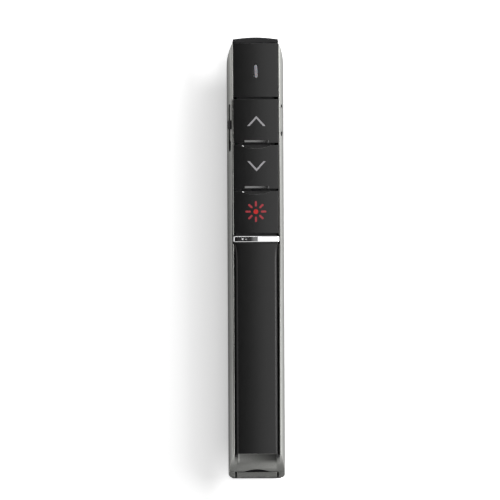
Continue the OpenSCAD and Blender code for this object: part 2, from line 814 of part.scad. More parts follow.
// Side-acting switches behind the ends of the rocker
module volume_switches() {
    face_x = rocker_pin_x + 0.5;
    tip_x = side_x(window_z, rocker_in) - 0.3;
    color([0.75, 0.75, 0.72]) for (s = [-1, 1])
        translate([0, rocker_y + s*volume_switch_dy, 0]) {
            box(face_x - 2.4, face_x, -1.5, 1.5, board_top_z, board_top_z + 1.7);
            translate([face_x - 0.1, 0, board_top_z + 1.1]) rotate([0, 90, 0])
                cylinder(d = 0.9, h = tip_x - face_x + 0.1);
        }
}

module power_switch() {
    l = slide_travel + lever_w + 2.4;
    color([0.6, 0.6, 0.62]) difference() {
        box(switch_x - switch_half, switch_x + switch_half, switch_y - l/2, switch_y + l/2,
            board_top_z, board_top_z + switch_h);
        box(switch_x - 0.6, switch_x + 0.6, switch_y - slide_travel/2 - lever_w/2 - 0.2,
            switch_y + slide_travel/2 + lever_w/2 + 0.2, board_top_z + switch_h - 0.8, far);
    }
}

module power_switch_lever() {
    color([0.9, 0.9, 0.88]) box(switch_x - 0.5, switch_x + 0.5, slider_y - lever_w/2, slider_y + lever_w/2,
        board_top_z + switch_h - 0.7, board_top_z + switch_h + 0.45);
}

module controller_chip() {
    y = (up_y + down_y)/2;
    color([0.08, 0.08, 0.09]) box(-2, 2, y - 2, y + 2, board_top_z, board_top_z + 0.9);
}

module radio_crystal() {
    color([0.75, 0.75, 0.76]) box(2.9, 5.3, down_y - 1.6, down_y + 1.6, board_top_z, board_top_z + 0.8);
}

// Small resistors and capacitors in rows beside the key switches
module board_parts() {
    color([0.62, 0.5, 0.36]) for (i = [0:4], s = [-1, 1])
        translate([s*4.2, laser_y - 4 + 2*i, board_top_z]) translate([-0.5, -0.3, 0]) cube([1, 0.6, 0.5]);
}

module status_led() {
    y = window_y - window_l/2 + 0.6;
    color([0.9, 0.9, 0.7]) box(-0.8, 0.8, y - 0.4, y + 0.4, board_top_z, board_top_z + 0.7);
}

// ---- battery ----

module battery_cell() {
    color([0.25, 0.26, 0.28]) rod_y(cell_d, cell_y0, cell_y1 - cell_cap_l, cell_z);
}

module cell_cap() {
    color([0.78, 0.78, 0.76]) rod_y(3.8, cell_y1 - cell_cap_l, cell_y1, cell_z);
}

// Round spring wire on a cone, in rings of eight points
module battery_spring() {
    wire_r = 0.3;
    turns = 4.5;
    steps = 60;
    sides = 8;
    r0 = 3.6;
    r1 = 2;
    z0 = wire_r + 0.02;
    rise = spring_l - 2*wire_r - 0.04;
    ring = [for (i = [0:steps])
        let (t = i/steps, a = 360*turns*t, r = r0 + (r1 - r0)*t)
        [for (k = [0:sides - 1]) let (b = 360*k/sides)
            [(r + wire_r*cos(b))*cos(a), (r + wire_r*cos(b))*sin(a), z0 + rise*t + wire_r*sin(b)]]];
    points = [for (p = ring, q = p) q];
    sides_faces = [for (i = [0:steps - 1], k = [0:sides - 1])
        let (a = i*sides + k, b = i*sides + (k + 1) % sides) [a, b, b + sides, a + sides]];
    ends = [[for (k = [sides - 1:-1:0]) k], [for (k = [0:sides - 1]) steps*sides + k]];
    color([0.75, 0.75, 0.73]) translate([0, spring_y0, cell_z]) rotate([-90, 0, 0])
        polyhedron(points, concat(sides_faces, ends));
}

module negative_contact() {
    color([0.75, 0.75, 0.73]) {
        box(-rear_plate_half, rear_plate_half, spring_y0 - plate_t, spring_y0,
            cell_z - rear_plate_half + 0.1, cell_z + rear_plate_half);
    }
}

// Plate against the cell's cap, with a tab bent over to the board
module positive_contact() {
    color([0.75, 0.75, 0.73]) {
        box(-front_plate_half, front_plate_half, cell_y1, cell_y1 + plate_t,
            cell_z - front_plate_half, cell_z + front_plate_half);
        box(-tab_half, tab_half, cell_y1 + plate_t - eps, board_y0 + 1.2, board_top_z, board_top_z + plate_t);
    }
}

// Insulated lead from the negative plate, along the tub, to the board
module battery_lead() {
    y0 = spring_y0 - plate_t;
    y1 = board_y0 + 1.5;
    end_z = board_z - lead_r - 0.03;
    color([0.06, 0.06, 0.06]) bent_rod(lead_r, [
        [lead_x, y0, lead_z], [lead_x, y1, lead_z], [lead_x, y1, end_z], [board_half - 1.6, y1, end_z]]);
}

// ---- fasteners ----

module screw(y, head_z, point_z) {
    up = point_z > head_z;
    translate([0, y, head_z]) mirror([0, 0, up ? 0 : 1]) {
        cylinder(d1 = screw_head_d, d2 = screw_d, h = 0.7);
        cylinder(d = screw_d, h = abs(point_z - head_z));
    }
}

module case_screws() {
    color([0.3, 0.3, 0.31]) for (y = [rear_screw_y, front_screw_y])
        screw(y, bridge_z + 0.02, bridge_z + 5.4);
}

module frame_screws() {
    color([0.3, 0.3, 0.31]) for (y = frame_screw_ys)
        screw(y, key_deck_z - 0.02, board_z - 4.6);
}

module rocker_pin() {
    color([0.75, 0.75, 0.76]) rod(rocker_pin_d, rocker_pin_x, rocker_y, board_z + 0.1, key_deck_z - 0.35);
}

// ---- side controls ----

// Plate in the window, flange behind the wall and a fork round the switch lever
module power_slider() {
    plate_h = window_h - 2*slide_clear;
    flange_z0 = window_z - window_h/2 - 0.4;
    flange_z1 = key_deck_z - 0.02;
    inner = wall + flange_gap + flange_t;
    fork_z0 = board_top_z + switch_h + 0.1;
    fork_z1 = key_deck_z - deck_t - 0.12;
    fork_x = side_x(fork_z1, inner) + 0.3;
    prong_w = (fork_w - lever_w - 0.1)/2;
    color([0.40, 0.40, 0.38]) {
        intersection() {
            tub_layer(slider_sink, inner, slot_y - slot_l, slot_y + slot_l);
            side_slot(-far, -1, slider_y, window_z, slider_l, plate_h);
            box(-far, far, tail_y, nose_y, 0, flange_z1);
        }
        // the plate's upper edge stays outside the key above it
        intersection() {
            tub_layer(slider_sink, wall, slot_y - slot_l, slot_y + slot_l);
            side_slot(-far, -face_half - 0.02, slider_y, window_z, slider_l, plate_h);
        }
        intersection() {
            tub_layer(wall + flange_gap, inner, slot_y - slot_l, slot_y + slot_l);
            box(-far, -1, slider_y - slider_l/2 - 1.2, slider_y + slider_l/2 + 1.2, flange_z0, flange_z1);
        }
        for (y = [slider_y - fork_w/2, slider_y + fork_w/2 - prong_w])
            box(-fork_x, switch_x + 0.5, y, y + prong_w, fork_z0, fork_z1);
    }
}

// Ribbed thumb nub on the slider's face
module power_nub() {
    nub_h = window_h - 2*slide_clear - 0.1;
    color([0.06, 0.06, 0.06]) difference() {
        intersection() {
            tub_layer(-nub_proud, slider_sink, slot_y - slot_l, slot_y + slot_l);
            box(-far, -1, nub_y - nub_l/2, nub_y + nub_l/2, window_z - nub_h/2, window_z + nub_h/2);
        }
        for (i = [0:nub_ribs - 1])
            rod(0.6, -side_x(window_z) - 0.25, nub_y + (i - (nub_ribs - 1)/2)*nub_rib_pitch,
                window_z - 3, window_z + 3);
    }
}

// Two-way key that rocks on an upright pin
module volume_rocker() {
    boss_top = key_deck_z - deck_t - 0.1;
    boss_bottom = board_top_z + 0.6;
    rocker_h = window_h - 0.5;
    color([0.44, 0.44, 0.42]) difference() {
        union() {
            intersection() {
                tub_layer(0.02, rocker_in, rocker_y - rocker_l, rocker_y + rocker_l);
                side_slot(1, far, rocker_y, window_z - 0.1, rocker_l, rocker_h);
                // its upper edge stays outside the key above it
                union() {
                    box(0, far, tail_y, nose_y, 0, key_deck_z - 0.02);
                    box(face_half + 0.3, far, tail_y, nose_y, 0, far);
                }
            }
            rod(2.4, rocker_pin_x, rocker_y, boss_bottom, boss_top);
            box(rocker_pin_x, side_x(boss_top, rocker_in) + 0.3, rocker_y - 1.2, rocker_y + 1.2,
                window_z - rocker_h/2, boss_top);
        }
        rod(rocker_pin_d + 2*pin_gap, rocker_pin_x, rocker_y, 0, far);
    }
}

// ---- battery door ----

// Flat door with a tongue along each side and a ribbed thumb patch
module battery_door() {
    tail_round = 0.3;
    tongue_z = door_lip_z + 0.06;
    grooves = 6;
    groove_pitch = 1.1;
    groove_l = 6.4;
    color([0.42, 0.42, 0.40]) difference() {
        union() {
            intersection() {
                box(-door_half, door_half, tail_y, door_y1, 0, tongue_z);
                across_x(-far, far) polygon([
                    [tail_y, tail_round], [tail_y + tail_round, 0], [door_y1, 0], [door_y1, 2], [tail_y, 2]]);
            }
            box(-door_half - door_tongue, door_half + door_tongue, tail_y, door_y1 - 0.05, tongue_z, wall);
        }
        for (i = [1:grooves])
            translate([0, door_y1 - 5.65 - groove_pitch*i, 0]) cube([groove_l, 0.5, 0.6], center = true);
    }
}

// ---- receiver ----

// Grip that fills the end window
module receiver_grip() {
    top_z = ledge_z - 0.12;
    bevel = 0.25;
    color([0.40, 0.40, 0.38]) intersection() {
        box(-grip_half, grip_half, case_tail_y, grip_y_in, sill_z + 0.08, top_z);
        across_x(-far, far) polygon([
            [case_tail_y, sill_z + 0.08], [grip_y_in, sill_z + 0.08], [grip_y_in, top_z],
            [case_tail_y + bevel, top_z], [case_tail_y, top_z - bevel]]);
    }
}

// Folded metal plug, open at its tip, with the two latch holes on its upper face
module receiver_shell() {
    color([0.78, 0.78, 0.79]) difference() {
        box(-plug_w/2, plug_w/2, grip_y_in, plug_tip_y, plug_z - plug_h/2, plug_z + plug_h/2);
        box(-plug_w/2 + plug_wall, plug_w/2 - plug_wall, grip_y_in + 0.5, plug_tip_y + 1,
            plug_z - plug_h/2 + plug_wall, plug_z + plug_h/2 - plug_wall);
        for (x = [-2.9, 2.9])
            box(x - 1.25, x + 1.25, plug_tip_y - 7, plug_tip_y - 4.9, plug_z, far);
    }
}

module receiver_tongue() {
    color([0.06, 0.06, 0.07]) box(-plug_w/2 + plug_wall + 0.03, plug_w/2 - plug_wall - 0.03, grip_y_in + 0.5,
        plug_tip_y - 0.4, plug_z - plug_h/2 + plug_wall + 0.02, plug_z - 0.1);
}

module receiver_contacts() {
    xs = [-3.5, -1, 1, 3.5];
    color([0.83, 0.66, 0.3]) for (x = xs)
        box(x - 0.5, x + 0.5, plug_tip_y - 7.8, plug_tip_y - 1, plug_z - 0.1, plug_z - 0.02);
}

// ---- nodes ----

case_body();
nose_cap();
aperture_ring();
laser_window();
laser_barrel();
laser_lens();
laser_leads();
head_panel();
status_window();
grip_panel();
chrome_bar();
key_frame();
battery_cradle();
receiver_dock();
main_board();
key_switches();
volume_switches();
power_switch();
controller_chip();
radio_crystal();
board_parts();
status_led();
battery_cell();
cell_cap();
battery_spring();
negative_contact();
positive_contact();
battery_lead();
case_screws();
frame_screws();
rocker_pin();
page_up_key();
page_up_stem();
page_down_key();
page_down_stem();
laser_key();
laser_key_stem();
power_slider();
power_nub();
power_switch_lever();
volume_rocker();
battery_door();
receiver_grip();
receiver_shell();
receiver_tongue();
receiver_contacts();
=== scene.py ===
"""Looks of the wireless presentation clicker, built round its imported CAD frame.

Lengths are in metres. A value that ends in *MM is written in millimetres, the unit of the part.
+Y runs to the laser nose, +Z up out of the face with the keys, +X to the rocker side.
"""
import json
import math

import bmesh
import bpy
from mathutils import Matrix, Vector

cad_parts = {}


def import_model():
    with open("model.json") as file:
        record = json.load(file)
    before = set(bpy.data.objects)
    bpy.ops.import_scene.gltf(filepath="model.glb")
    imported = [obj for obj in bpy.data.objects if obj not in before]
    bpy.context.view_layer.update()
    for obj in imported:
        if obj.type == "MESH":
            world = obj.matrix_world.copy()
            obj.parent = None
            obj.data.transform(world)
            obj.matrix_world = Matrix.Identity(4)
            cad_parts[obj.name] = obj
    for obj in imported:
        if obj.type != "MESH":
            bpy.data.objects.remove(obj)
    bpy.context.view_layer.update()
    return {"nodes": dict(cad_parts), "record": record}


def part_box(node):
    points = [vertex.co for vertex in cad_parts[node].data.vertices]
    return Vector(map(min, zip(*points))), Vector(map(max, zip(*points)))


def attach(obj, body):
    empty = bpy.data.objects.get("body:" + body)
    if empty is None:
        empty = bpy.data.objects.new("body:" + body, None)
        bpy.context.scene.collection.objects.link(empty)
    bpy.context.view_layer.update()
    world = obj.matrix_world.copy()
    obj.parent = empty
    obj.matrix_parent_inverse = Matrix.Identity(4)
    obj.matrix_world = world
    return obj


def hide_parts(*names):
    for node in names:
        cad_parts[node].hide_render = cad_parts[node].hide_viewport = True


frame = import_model()

MM = 0.001
BEHAVIOUR = frame["record"]["behaviour"]
BODY_OF = {node: body for body, members in BEHAVIOUR["bodies"].items() for node in members}
SLOT_OF = {part["node"]: part["material_slot"] for part in frame["record"]["subparts"]}

# ---- sizes taken from the frame ----

CASE_LOW, CASE_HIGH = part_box("case_body")
FACE_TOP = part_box("head_panel")[1].z
FACE_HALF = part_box("head_panel")[1].x
CROWN_HEIGHT = 0.5*MM
CROWN_RADIUS = (FACE_HALF**2 + CROWN_HEIGHT**2)/(2*CROWN_HEIGHT)
TABLE = CASE_LOW.z


def crown(x):
    """Height of the crowned top face at a distance from the middle."""
    return FACE_TOP - CROWN_RADIUS + math.sqrt(CROWN_RADIUS**2 - x*x)


def middle_of(node):
    """Centre of a node's box."""
    low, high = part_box(node)
    return (low + high)/2


# ---- materials ----

def linear(*srgb):
    """Colour written as it looks on a screen, 0 to 255, as the linear colour that a shader takes."""
    shares = [c/255 for c in srgb]
    return tuple(s/12.92 if s <= 0.04045 else ((s + 0.055)/1.055)**2.4 for s in shares) + (1.0,)


class Tree:
    """The nodes of a material or of the world."""

    def __init__(self, owner):
        owner.use_nodes = True
        self.nodes = owner.node_tree.nodes
        self.links = owner.node_tree.links

    def link(self, source, target):
        self.links.new(source, target)

    def level(self, source, low, high, start=0.0, end=1.0, smooth=False):
        """Maps start..end of a source to low..high, held at its ends."""
        node = self.nodes.new("ShaderNodeMapRange")
        node.interpolation_type = "SMOOTHSTEP" if smooth else "LINEAR"
        self.link(source, node.inputs["Value"])
        for name, value in (("From Min", start), ("From Max", end), ("To Min", low), ("To Max", high)):
            node.inputs[name].default_value = value
        return node.outputs["Result"]

    def math(self, operation, a, b=0.0):
        """A sum, product or the like of two outputs or numbers."""
        node = self.nodes.new("ShaderNodeMath")
        node.operation = operation
        for socket, value in zip(node.inputs, (a, b)):
            if isinstance(value, (int, float)):
                socket.default_value = value
            else:
                self.link(value, socket)
        return node.outputs[0]

    def both(self, a, b):
        """The share that two shares have in common."""
        return self.math("MULTIPLY", a, b)

    def blend(self, a, b, share):
        """Runs from a to b while the share runs from 0 to 1."""
        return self.math("ADD", a, self.math("MULTIPLY", self.math("SUBTRACT", b, a), share))

    def part(self, vector, index):
        """One coordinate of a vector."""
        node = self.nodes.new("ShaderNodeSeparateXYZ")
        self.link(vector, node.inputs[0])
        return node.outputs[index]


class Finish(Tree):
    """One procedural material. Its textures are laid in the piece's own millimetres."""

    def __init__(self, name, colour, metallic=0.0):
        self.material = bpy.data.materials.new(name)
        super().__init__(self.material)
        self.shader = self.nodes["Principled BSDF"]
        self.shader.inputs["Metallic"].default_value = metallic
        base = self.nodes.new("ShaderNodeRGB")
        base.outputs[0].default_value = colour
        self.colour = base.outputs[0]
        self.roughness = None
        self.height = None
        place = self.nodes.new("ShaderNodeTexCoord")
        scale = self.nodes.new("ShaderNodeMapping")
        scale.inputs["Scale"].default_value = (1/MM, 1/MM, 1/MM)
        self.link(place.outputs["Object"], scale.inputs["Vector"])
        self.place = scale.outputs["Vector"]

    def stretched(self, x, y, z):
        """The piece's coordinates drawn out along some axes, for brushed and drawn marks."""
        node = self.nodes.new("ShaderNodeMapping")
        node.inputs["Scale"].default_value = (x, y, z)
        self.link(self.place, node.inputs["Vector"])
        return node.outputs["Vector"]

    def noise(self, grains_per_mm, detail, place=None):
        """Cloudy noise, on the piece's own coordinates if no others are given."""
        node = self.nodes.new("ShaderNodeTexNoise")
        node.inputs["Scale"].default_value = grains_per_mm
        node.inputs["Detail"].default_value = detail
        self.link(place or self.place, node.inputs["Vector"])
        return node.outputs["Fac"]

    def flakes(self, flakes_per_mm):
        """A random level for each small cell, as metal flakes in paint have."""
        node = self.nodes.new("ShaderNodeTexVoronoi")
        node.inputs["Scale"].default_value = flakes_per_mm
        self.link(self.place, node.inputs["Vector"])
        split = self.nodes.new("ShaderNodeSeparateColor")
        self.link(node.outputs["Color"], split.inputs["Color"])
        return split.outputs["Red"]

    def axis(self, index):
        """One coordinate of the piece, in millimetres."""
        return self.part(self.place, index)

    def band(self, index, start, end, soft=0.02):
        """1 between two places along an axis and 0 outside them."""
        along = self.axis(index)
        rise = self.level(along, 0.0, 1.0, start - soft, start + soft)
        fall = self.level(along, 1.0, 0.0, end - soft, end + soft)
        return self.both(rise, fall)

    def attribute(self, name):
        """A share that the piece's faces carry, and 0 where they carry none."""
        node = self.nodes.new("ShaderNodeAttribute")
        node.attribute_name = name
        return node.outputs["Fac"]

    def worn_edge(self):
        """The rounded edges of a piece, broken up as handling wears them."""
        patches = self.level(self.noise(0.9, 5.0), 0.0, 1.0, 0.42, 0.66)
        return self.both(self.attribute("edge"), patches)

    def paint(self, factor, colour):
        """Lays a second colour over the first where the factor is 1."""
        node = self.nodes.new("ShaderNodeMix")
        node.data_type = "RGBA"
        self.link(factor, node.inputs["Factor"])
        self.link(self.colour, node.inputs["A"])
        node.inputs["B"].default_value = colour
        self.colour = node.outputs["Result"]

    def shade(self, factor, low, high, start=0.0, end=1.0):
        """Multiplies the colour by low..high while the factor runs from start to end."""
        node = self.nodes.new("ShaderNodeVectorMath")
        node.operation = "SCALE"
        self.link(self.colour, node.inputs["Vector"])
        self.link(self.level(factor, low, high, start, end), node.inputs["Scale"])
        self.colour = node.outputs["Vector"]

    def polish(self, factor, low, high):
        """Roughness from low to high along the factor."""
        self.roughness = self.level(factor, low, high)

    def smooth_where(self, factor, share):
        """Takes a share off the roughness where the factor is 1."""
        self.roughness = self.math("MULTIPLY", self.roughness, self.level(factor, 1.0, 1.0 - share))

    def relief(self, source, depth):
        """Adds a height to the bump, with its depth in millimetres."""
        scaled = self.math("MULTIPLY", source, depth*MM)
        self.height = scaled if self.height is None else self.math("ADD", self.height, scaled)

    def set(self, **sockets):
        """Values that are the same all over, straight on the shader's sockets."""
        for name, value in sockets.items():
            self.shader.inputs[name.replace("_", " ").title().replace("Ior", "IOR")].default_value = value

    def done(self):
        """The finished material, with its colour, roughness and bump on the shader."""
        bump = self.nodes.new("ShaderNodeBump")
        bump.inputs["Distance"].default_value = 1.0
        self.link(self.height, bump.inputs["Height"])
        self.link(bump.outputs["Normal"], self.shader.inputs["Normal"])
        self.link(self.colour, self.shader.inputs["Base Color"])
        self.link(self.roughness, self.shader.inputs["Roughness"])
        return self.material


def moulded(name, colour, roughness, grain=0.004, spread=0.10, worn=None, **sockets):
    """Moulded plastic: spark-eroded grain, faint mottling and handled edges."""
    f = Finish(name, colour)
    f.shade(f.noise(0.35, 4.0), 1 - spread, 1 + spread)
    f.shade(f.noise(7.0, 2.0), 1 - spread/2, 1 + spread/2)
    f.polish(f.noise(0.8, 5.0), roughness*0.86, roughness*1.14)
    edge = f.worn_edge()
    if worn:
        f.paint(edge, worn)
    f.smooth_where(edge, 0.3)
    f.relief(f.noise(6.5, 3.0), grain)
    f.relief(f.noise(1.6, 2.0), grain*0.6)
    f.set(**sockets)
    return f.done()


def plated(name, colour, roughness, drawn, dulled=0.12):
    """Plated or drawn metal: fine lines along one axis, cloudy dullness and smoother edges."""
    f = Finish(name, colour, metallic=1.0)
    lines = f.noise(9.0, 4.0, f.stretched(*drawn))
    clouds = f.noise(0.5, 4.0)
    f.shade(clouds, 1 - dulled, 1.0)
    f.shade(lines, 0.93, 1.05)
    f.polish(f.blend(lines, clouds, 0.5), roughness*0.7, roughness*1.4)
    f.smooth_where(f.worn_edge(), 0.25)
    f.relief(lines, 0.0015)
    return f.done()


# Tones are multiples of the rail paint's own colour, and are painted shade and painted light. Their places
# on the tub are in millimetres.
# Painted shade down the walls: darkest low on them, lightest along the lips.
WALL_SHADE_TONES = (0.36, 1.48)
WALL_TONE_Z = (8.6, 14.4)
# Painted light: over the tail this even tone takes the place of the painted wall shade, which lifts the low
# prongs.
TAIL_TONE = 0.68
TAIL_TONE_Y = (-72.4, -69.6)
# Painted shade at the tail's end: darker over its last millimetre.
END_EDGE_SHADE = 0.62
END_EDGE_Y = (-74.6, -73.8)
SCOOP_HALF = 6.5
SCOOP_Y = (-80.0, -66.2)
SCOOP_Z = (1.5, 20.0)
SCOOP_HEAD_Y = (-69.4, -68.2)
SCOOP_FOOT_Y = (-71.6, -71.0)
# Painted shadow across the scoop's head, painted light across its foot and a painted highlight along its
# left edge.
SCOOP_HEAD_SHADOW_TONES = (1.02, 0.22)
SCOOP_FOOT_LIGHT_TONES = (0.62, 0.94)
# The receiver's end takes an even painted shade.
SCOOP_END_TONE = 0.70
SCOOP_HIGHLIGHT_WIDTH = 0.55
SCOOP_HIGHLIGHT_TONE = 0.8
# Painted shade along the middle of the left wall.
LEFT_WALL_SHADE = 0.70
LEFT_WALL_X = (-7.8, -6.8)
LEFT_WALL_Y = (-48.0, 44.0)
# Painted shade on the left lip beside the keys, deepening towards the nose.
LEFT_LIP_SHADE = 0.18
LEFT_LIP_X = (-8.2, -7.4)
LEFT_LIP_Y = (20.0, 54.0)
LEFT_LIP_DARKENS_Y = (26.0, 50.0)
# Painted shade on the scoop's side walls near its head, beside the prongs.
PRONG_SHADE = 0.28
PRONG_INNER_X = (6.4, 6.6)
PRONG_OUTER_X = (7.5, 7.8)
PRONG_Y = (-69.4, -67.4)
PRONG_Z = (9.0, 20.0)
PAINT_METALLIC = 0.85


def scoop_painted_shade(f):
    """Painted shade and painted light in the tail's scoop.

    Across its head a painted shadow darkens it towards the rocker's side, from a painted highlight along
    the left edge. Across its foot painted light lifts it towards the same side, and the receiver's end
    takes an even painted shade.
    """
    at_the_head = f.level(f.axis(1), 0.0, 1.0, *SCOOP_HEAD_Y)
    above_the_end = f.level(f.axis(1), 0.0, 1.0, *SCOOP_FOOT_Y)
    head_shadow = f.level(f.axis(0), *SCOOP_HEAD_SHADOW_TONES, -SCOOP_HALF, SCOOP_HALF)
    foot_light = f.level(f.axis(0), *SCOOP_FOOT_LIGHT_TONES, -SCOOP_HALF, SCOOP_HALF)
    left_highlight = f.both(f.band(0, -SCOOP_HALF, SCOOP_HIGHLIGHT_WIDTH - SCOOP_HALF, soft=0.12), at_the_head)
    slope_tone = f.blend(foot_light, head_shadow, at_the_head)
    highlighted_tone = f.math("ADD", slope_tone, f.both(left_highlight, SCOOP_HIGHLIGHT_TONE))
    return f.blend(SCOOP_END_TONE, highlighted_tone, above_the_end)


def shade_rails(f):
    """Lays painted shade and painted light on the tub: darker down its walls, with its own tones at the
    tail and on the left.
    """
    # Painted shade: darker down the walls, lightest along the lips.
    wall_shade = f.level(f.axis(2), *WALL_SHADE_TONES, *WALL_TONE_Z)
    # Over the tail an even painted tone takes the place of the painted wall shade.
    body_tone = f.blend(wall_shade, TAIL_TONE, f.level(f.axis(1), 1.0, 0.0, *TAIL_TONE_Y))
    # In the scoop its own painted shade and light take the place of the wall tones.
    across = f.band(0, -SCOOP_HALF - 0.2, SCOOP_HALF + 0.2, soft=0.3)
    over_the_scoop = f.both(across, f.band(1, *SCOOP_Y, soft=0.2))
    in_the_scoop = f.both(over_the_scoop, f.band(2, *SCOOP_Z, soft=0.05))
    f.shade(f.blend(body_tone, scoop_painted_shade(f), in_the_scoop), 0.0, 2.0, 0.0, 2.0)
    # Painted shade at the tail's end: darker over its last millimetre.
    f.shade(f.axis(1), END_EDGE_SHADE, 1.0, *END_EDGE_Y)
    # Painted shade along the middle of the left wall.
    left_wall = f.both(f.level(f.axis(0), 1.0, 0.0, *LEFT_WALL_X), f.band(1, *LEFT_WALL_Y, soft=14.0))
    f.shade(left_wall, 1.0, LEFT_WALL_SHADE)
    # Painted shade on the left lip beside the keys, deepening towards the nose.
    left_lip = f.both(f.band(0, *LEFT_LIP_X, soft=0.06), f.band(1, *LEFT_LIP_Y, soft=0.3))
    f.shade(f.both(left_lip, f.level(f.axis(1), 0.0, 1.0, *LEFT_LIP_DARKENS_Y)), 1.0, LEFT_LIP_SHADE)
    # Painted shade on the scoop's side walls near its head, beside the prongs.
    side = f.math("ABSOLUTE", f.axis(0))
    beyond_the_scoop = f.level(side, 0.0, 1.0, *PRONG_INNER_X)
    beside_the_scoop = f.both(beyond_the_scoop, f.level(side, 1.0, 0.0, *PRONG_OUTER_X))
    at_the_prongs = f.both(f.level(f.axis(1), 0.0, 1.0, *PRONG_Y), f.band(2, *PRONG_Z, soft=0.5))
    f.shade(f.both(beside_the_scoop, at_the_prongs), 1.0, PRONG_SHADE)


def rail_paint():
    """Gun-metal satin paint: fine flakes, a little orange peel, rubbed bright at the edges.

    Painted shade keeps it lightest along the lips and darker down the walls. The tail's scoop has painted
    shade and light, and painted shade lies along the left wall's middle and on the left lip beside the
    keys.
    The inside of the moulding was never sprayed and stays black, which also stands for painted shade in
    the windows and slits.
    """
    f = Finish("rail_paint", (0.31, 0.313, 0.298, 1), metallic=PAINT_METALLIC)
    shade_rails(f)
    flakes = f.flakes(11.0)
    f.shade(flakes, 0.86, 1.16)
    f.shade(f.noise(0.22, 4.0), 0.93, 1.07)
    f.polish(f.noise(0.6, 5.0), 0.38, 0.48)
    edge = f.worn_edge()
    f.paint(f.both(edge, 0.45), (0.46, 0.46, 0.43, 1))
    f.smooth_where(edge, 0.25)
    f.relief(flakes, 0.0012)
    f.relief(f.noise(1.3, 2.0), 0.0035)
    # Bare black plastic inside the moulding, whose black also stands for painted shade in the windows,
    # slits and gaps.
    bare = f.attribute("bare")
    f.paint(bare, (0.010, 0.010, 0.011, 1))
    f.link(f.level(bare, PAINT_METALLIC, 0.0), f.shader.inputs["Metallic"])
    f.set(specular_ior_level=0.3, specular_tint=(0.8, 0.8, 0.8, 1.0))
    return f.done()


# Painted glint: near-white on each dimple's rim at its left end.
DIMPLE_GLINT_X = (-4.66, -4.15)


def black_panel():
    """Satin black moulding of the top face: cloudy from thumbs, a painted glint at each dimple's left end.
    """
    f = Finish("black_panel", (0.0052, 0.0052, 0.0052, 1))
    f.shade(f.noise(0.30, 5.0), 0.82, 1.18)
    f.shade(f.noise(8.0, 2.0), 0.90, 1.10)
    smears = f.noise(0.55, 5.0, f.stretched(1.0, 0.45, 1.0))
    f.polish(smears, 0.27, 0.36)
    edge = f.worn_edge()
    f.paint(f.both(edge, 0.5), (0.035, 0.035, 0.035, 1))
    # Painted glint at the left end of each dimple's rim.
    f.paint(f.both(f.attribute("rim"), f.band(0, *DIMPLE_GLINT_X, soft=0.1)), (0.85, 0.85, 0.85, 1))
    f.smooth_where(edge, 0.3)
    f.smooth_where(f.attribute("rubbed"), 0.45)
    f.relief(f.noise(7.0, 3.0), 0.0022)
    return f.done()


def nose_black():
    return moulded("nose_black", (0.0046, 0.0046, 0.005, 1), 0.40, grain=0.0022,
                   worn=(0.03, 0.03, 0.03, 1), specular_ior_level=0.10)


def bright_trim():
    """Polished plating with hair-fine wiping marks."""
    f = Finish("bright_trim", (0.90, 0.90, 0.905, 1), metallic=1.0)
    wiped = f.noise(5.0, 5.0, f.stretched(0.18, 1.0, 1.0))
    f.shade(f.noise(0.4, 4.0), 0.96, 1.0)
    f.polish(wiped, 0.015, 0.05)
    f.relief(wiped, 0.0001)
    return f.done()


def window_clear():
    """Milky light pipe, faintly lavender, with cloudy depth."""
    f = Finish("window_clear", linear(136, 134, 140))
    f.shade(f.noise(1.1, 4.0), 0.90, 1.08)
    f.polish(f.noise(2.0, 4.0), 0.17, 0.30)
    f.relief(f.noise(3.0, 2.0), 0.002)
    f.set(subsurface_weight=0.25, subsurface_scale=0.3*MM, coat_weight=0.2, coat_roughness=0.08)
    return f.done()


def laser_glass():
    """Red-tinted pane in front of the beam."""
    f = Finish("laser_glass", linear(150, 20, 22))
    f.shade(f.noise(0.8, 3.0), 0.9, 1.05)
    f.polish(f.noise(3.0, 4.0), 0.02, 0.09)
    f.relief(f.noise(1.5, 2.0), 0.0008)
    f.set(transmission_weight=0.75, ior=1.49)
    return f.done()


def lens_glass():
    f = Finish("lens_glass", linear(214, 222, 230))
    f.shade(f.noise(0.7, 3.0), 0.95, 1.0)
    f.polish(f.noise(4.0, 4.0), 0.01, 0.05)
    f.relief(f.noise(1.0, 1.0), 0.0004)
    f.set(transmission_weight=0.9, ior=1.52, coat_weight=0.3, coat_tint=(0.75, 0.7, 1.0, 1.0))
    return f.done()


def brass_barrel():
    """Turned brass: tool rings round the barrel and slight tarnish."""
    f = Finish("brass_barrel", (0.68, 0.50, 0.21, 1), metallic=1.0)
    wave = f.nodes.new("ShaderNodeTexWave")
    wave.bands_direction = "Y"
    wave.inputs["Scale"].default_value = 3.2
    wave.inputs["Distortion"].default_value = 0.2
    f.link(f.place, wave.inputs["Vector"])
    rings = wave.outputs["Fac"]
    tarnish = f.noise(0.6, 5.0)
    f.shade(rings, 0.92, 1.05)
    f.paint(f.level(tarnish, 0.0, 0.35, 0.5, 0.75), (0.36, 0.22, 0.10, 1))
    f.polish(tarnish, 0.18, 0.34)
    f.relief(rings, 0.006)
    return f.done()


def insulated_wire(name, colour, second=None):
    """Soft insulation; the leads on the two sides of the middle may differ."""
    f = Finish(name, colour)
    if second:
        f.paint(f.level(f.axis(0), 1.0, 0.0, -0.2, 0.2), second)
    f.shade(f.noise(1.4, 4.0), 0.86, 1.08)
    f.polish(f.noise(2.2, 4.0), 0.30, 0.48)
    f.relief(f.noise(4.0, 3.0), 0.006)
    return f.done()


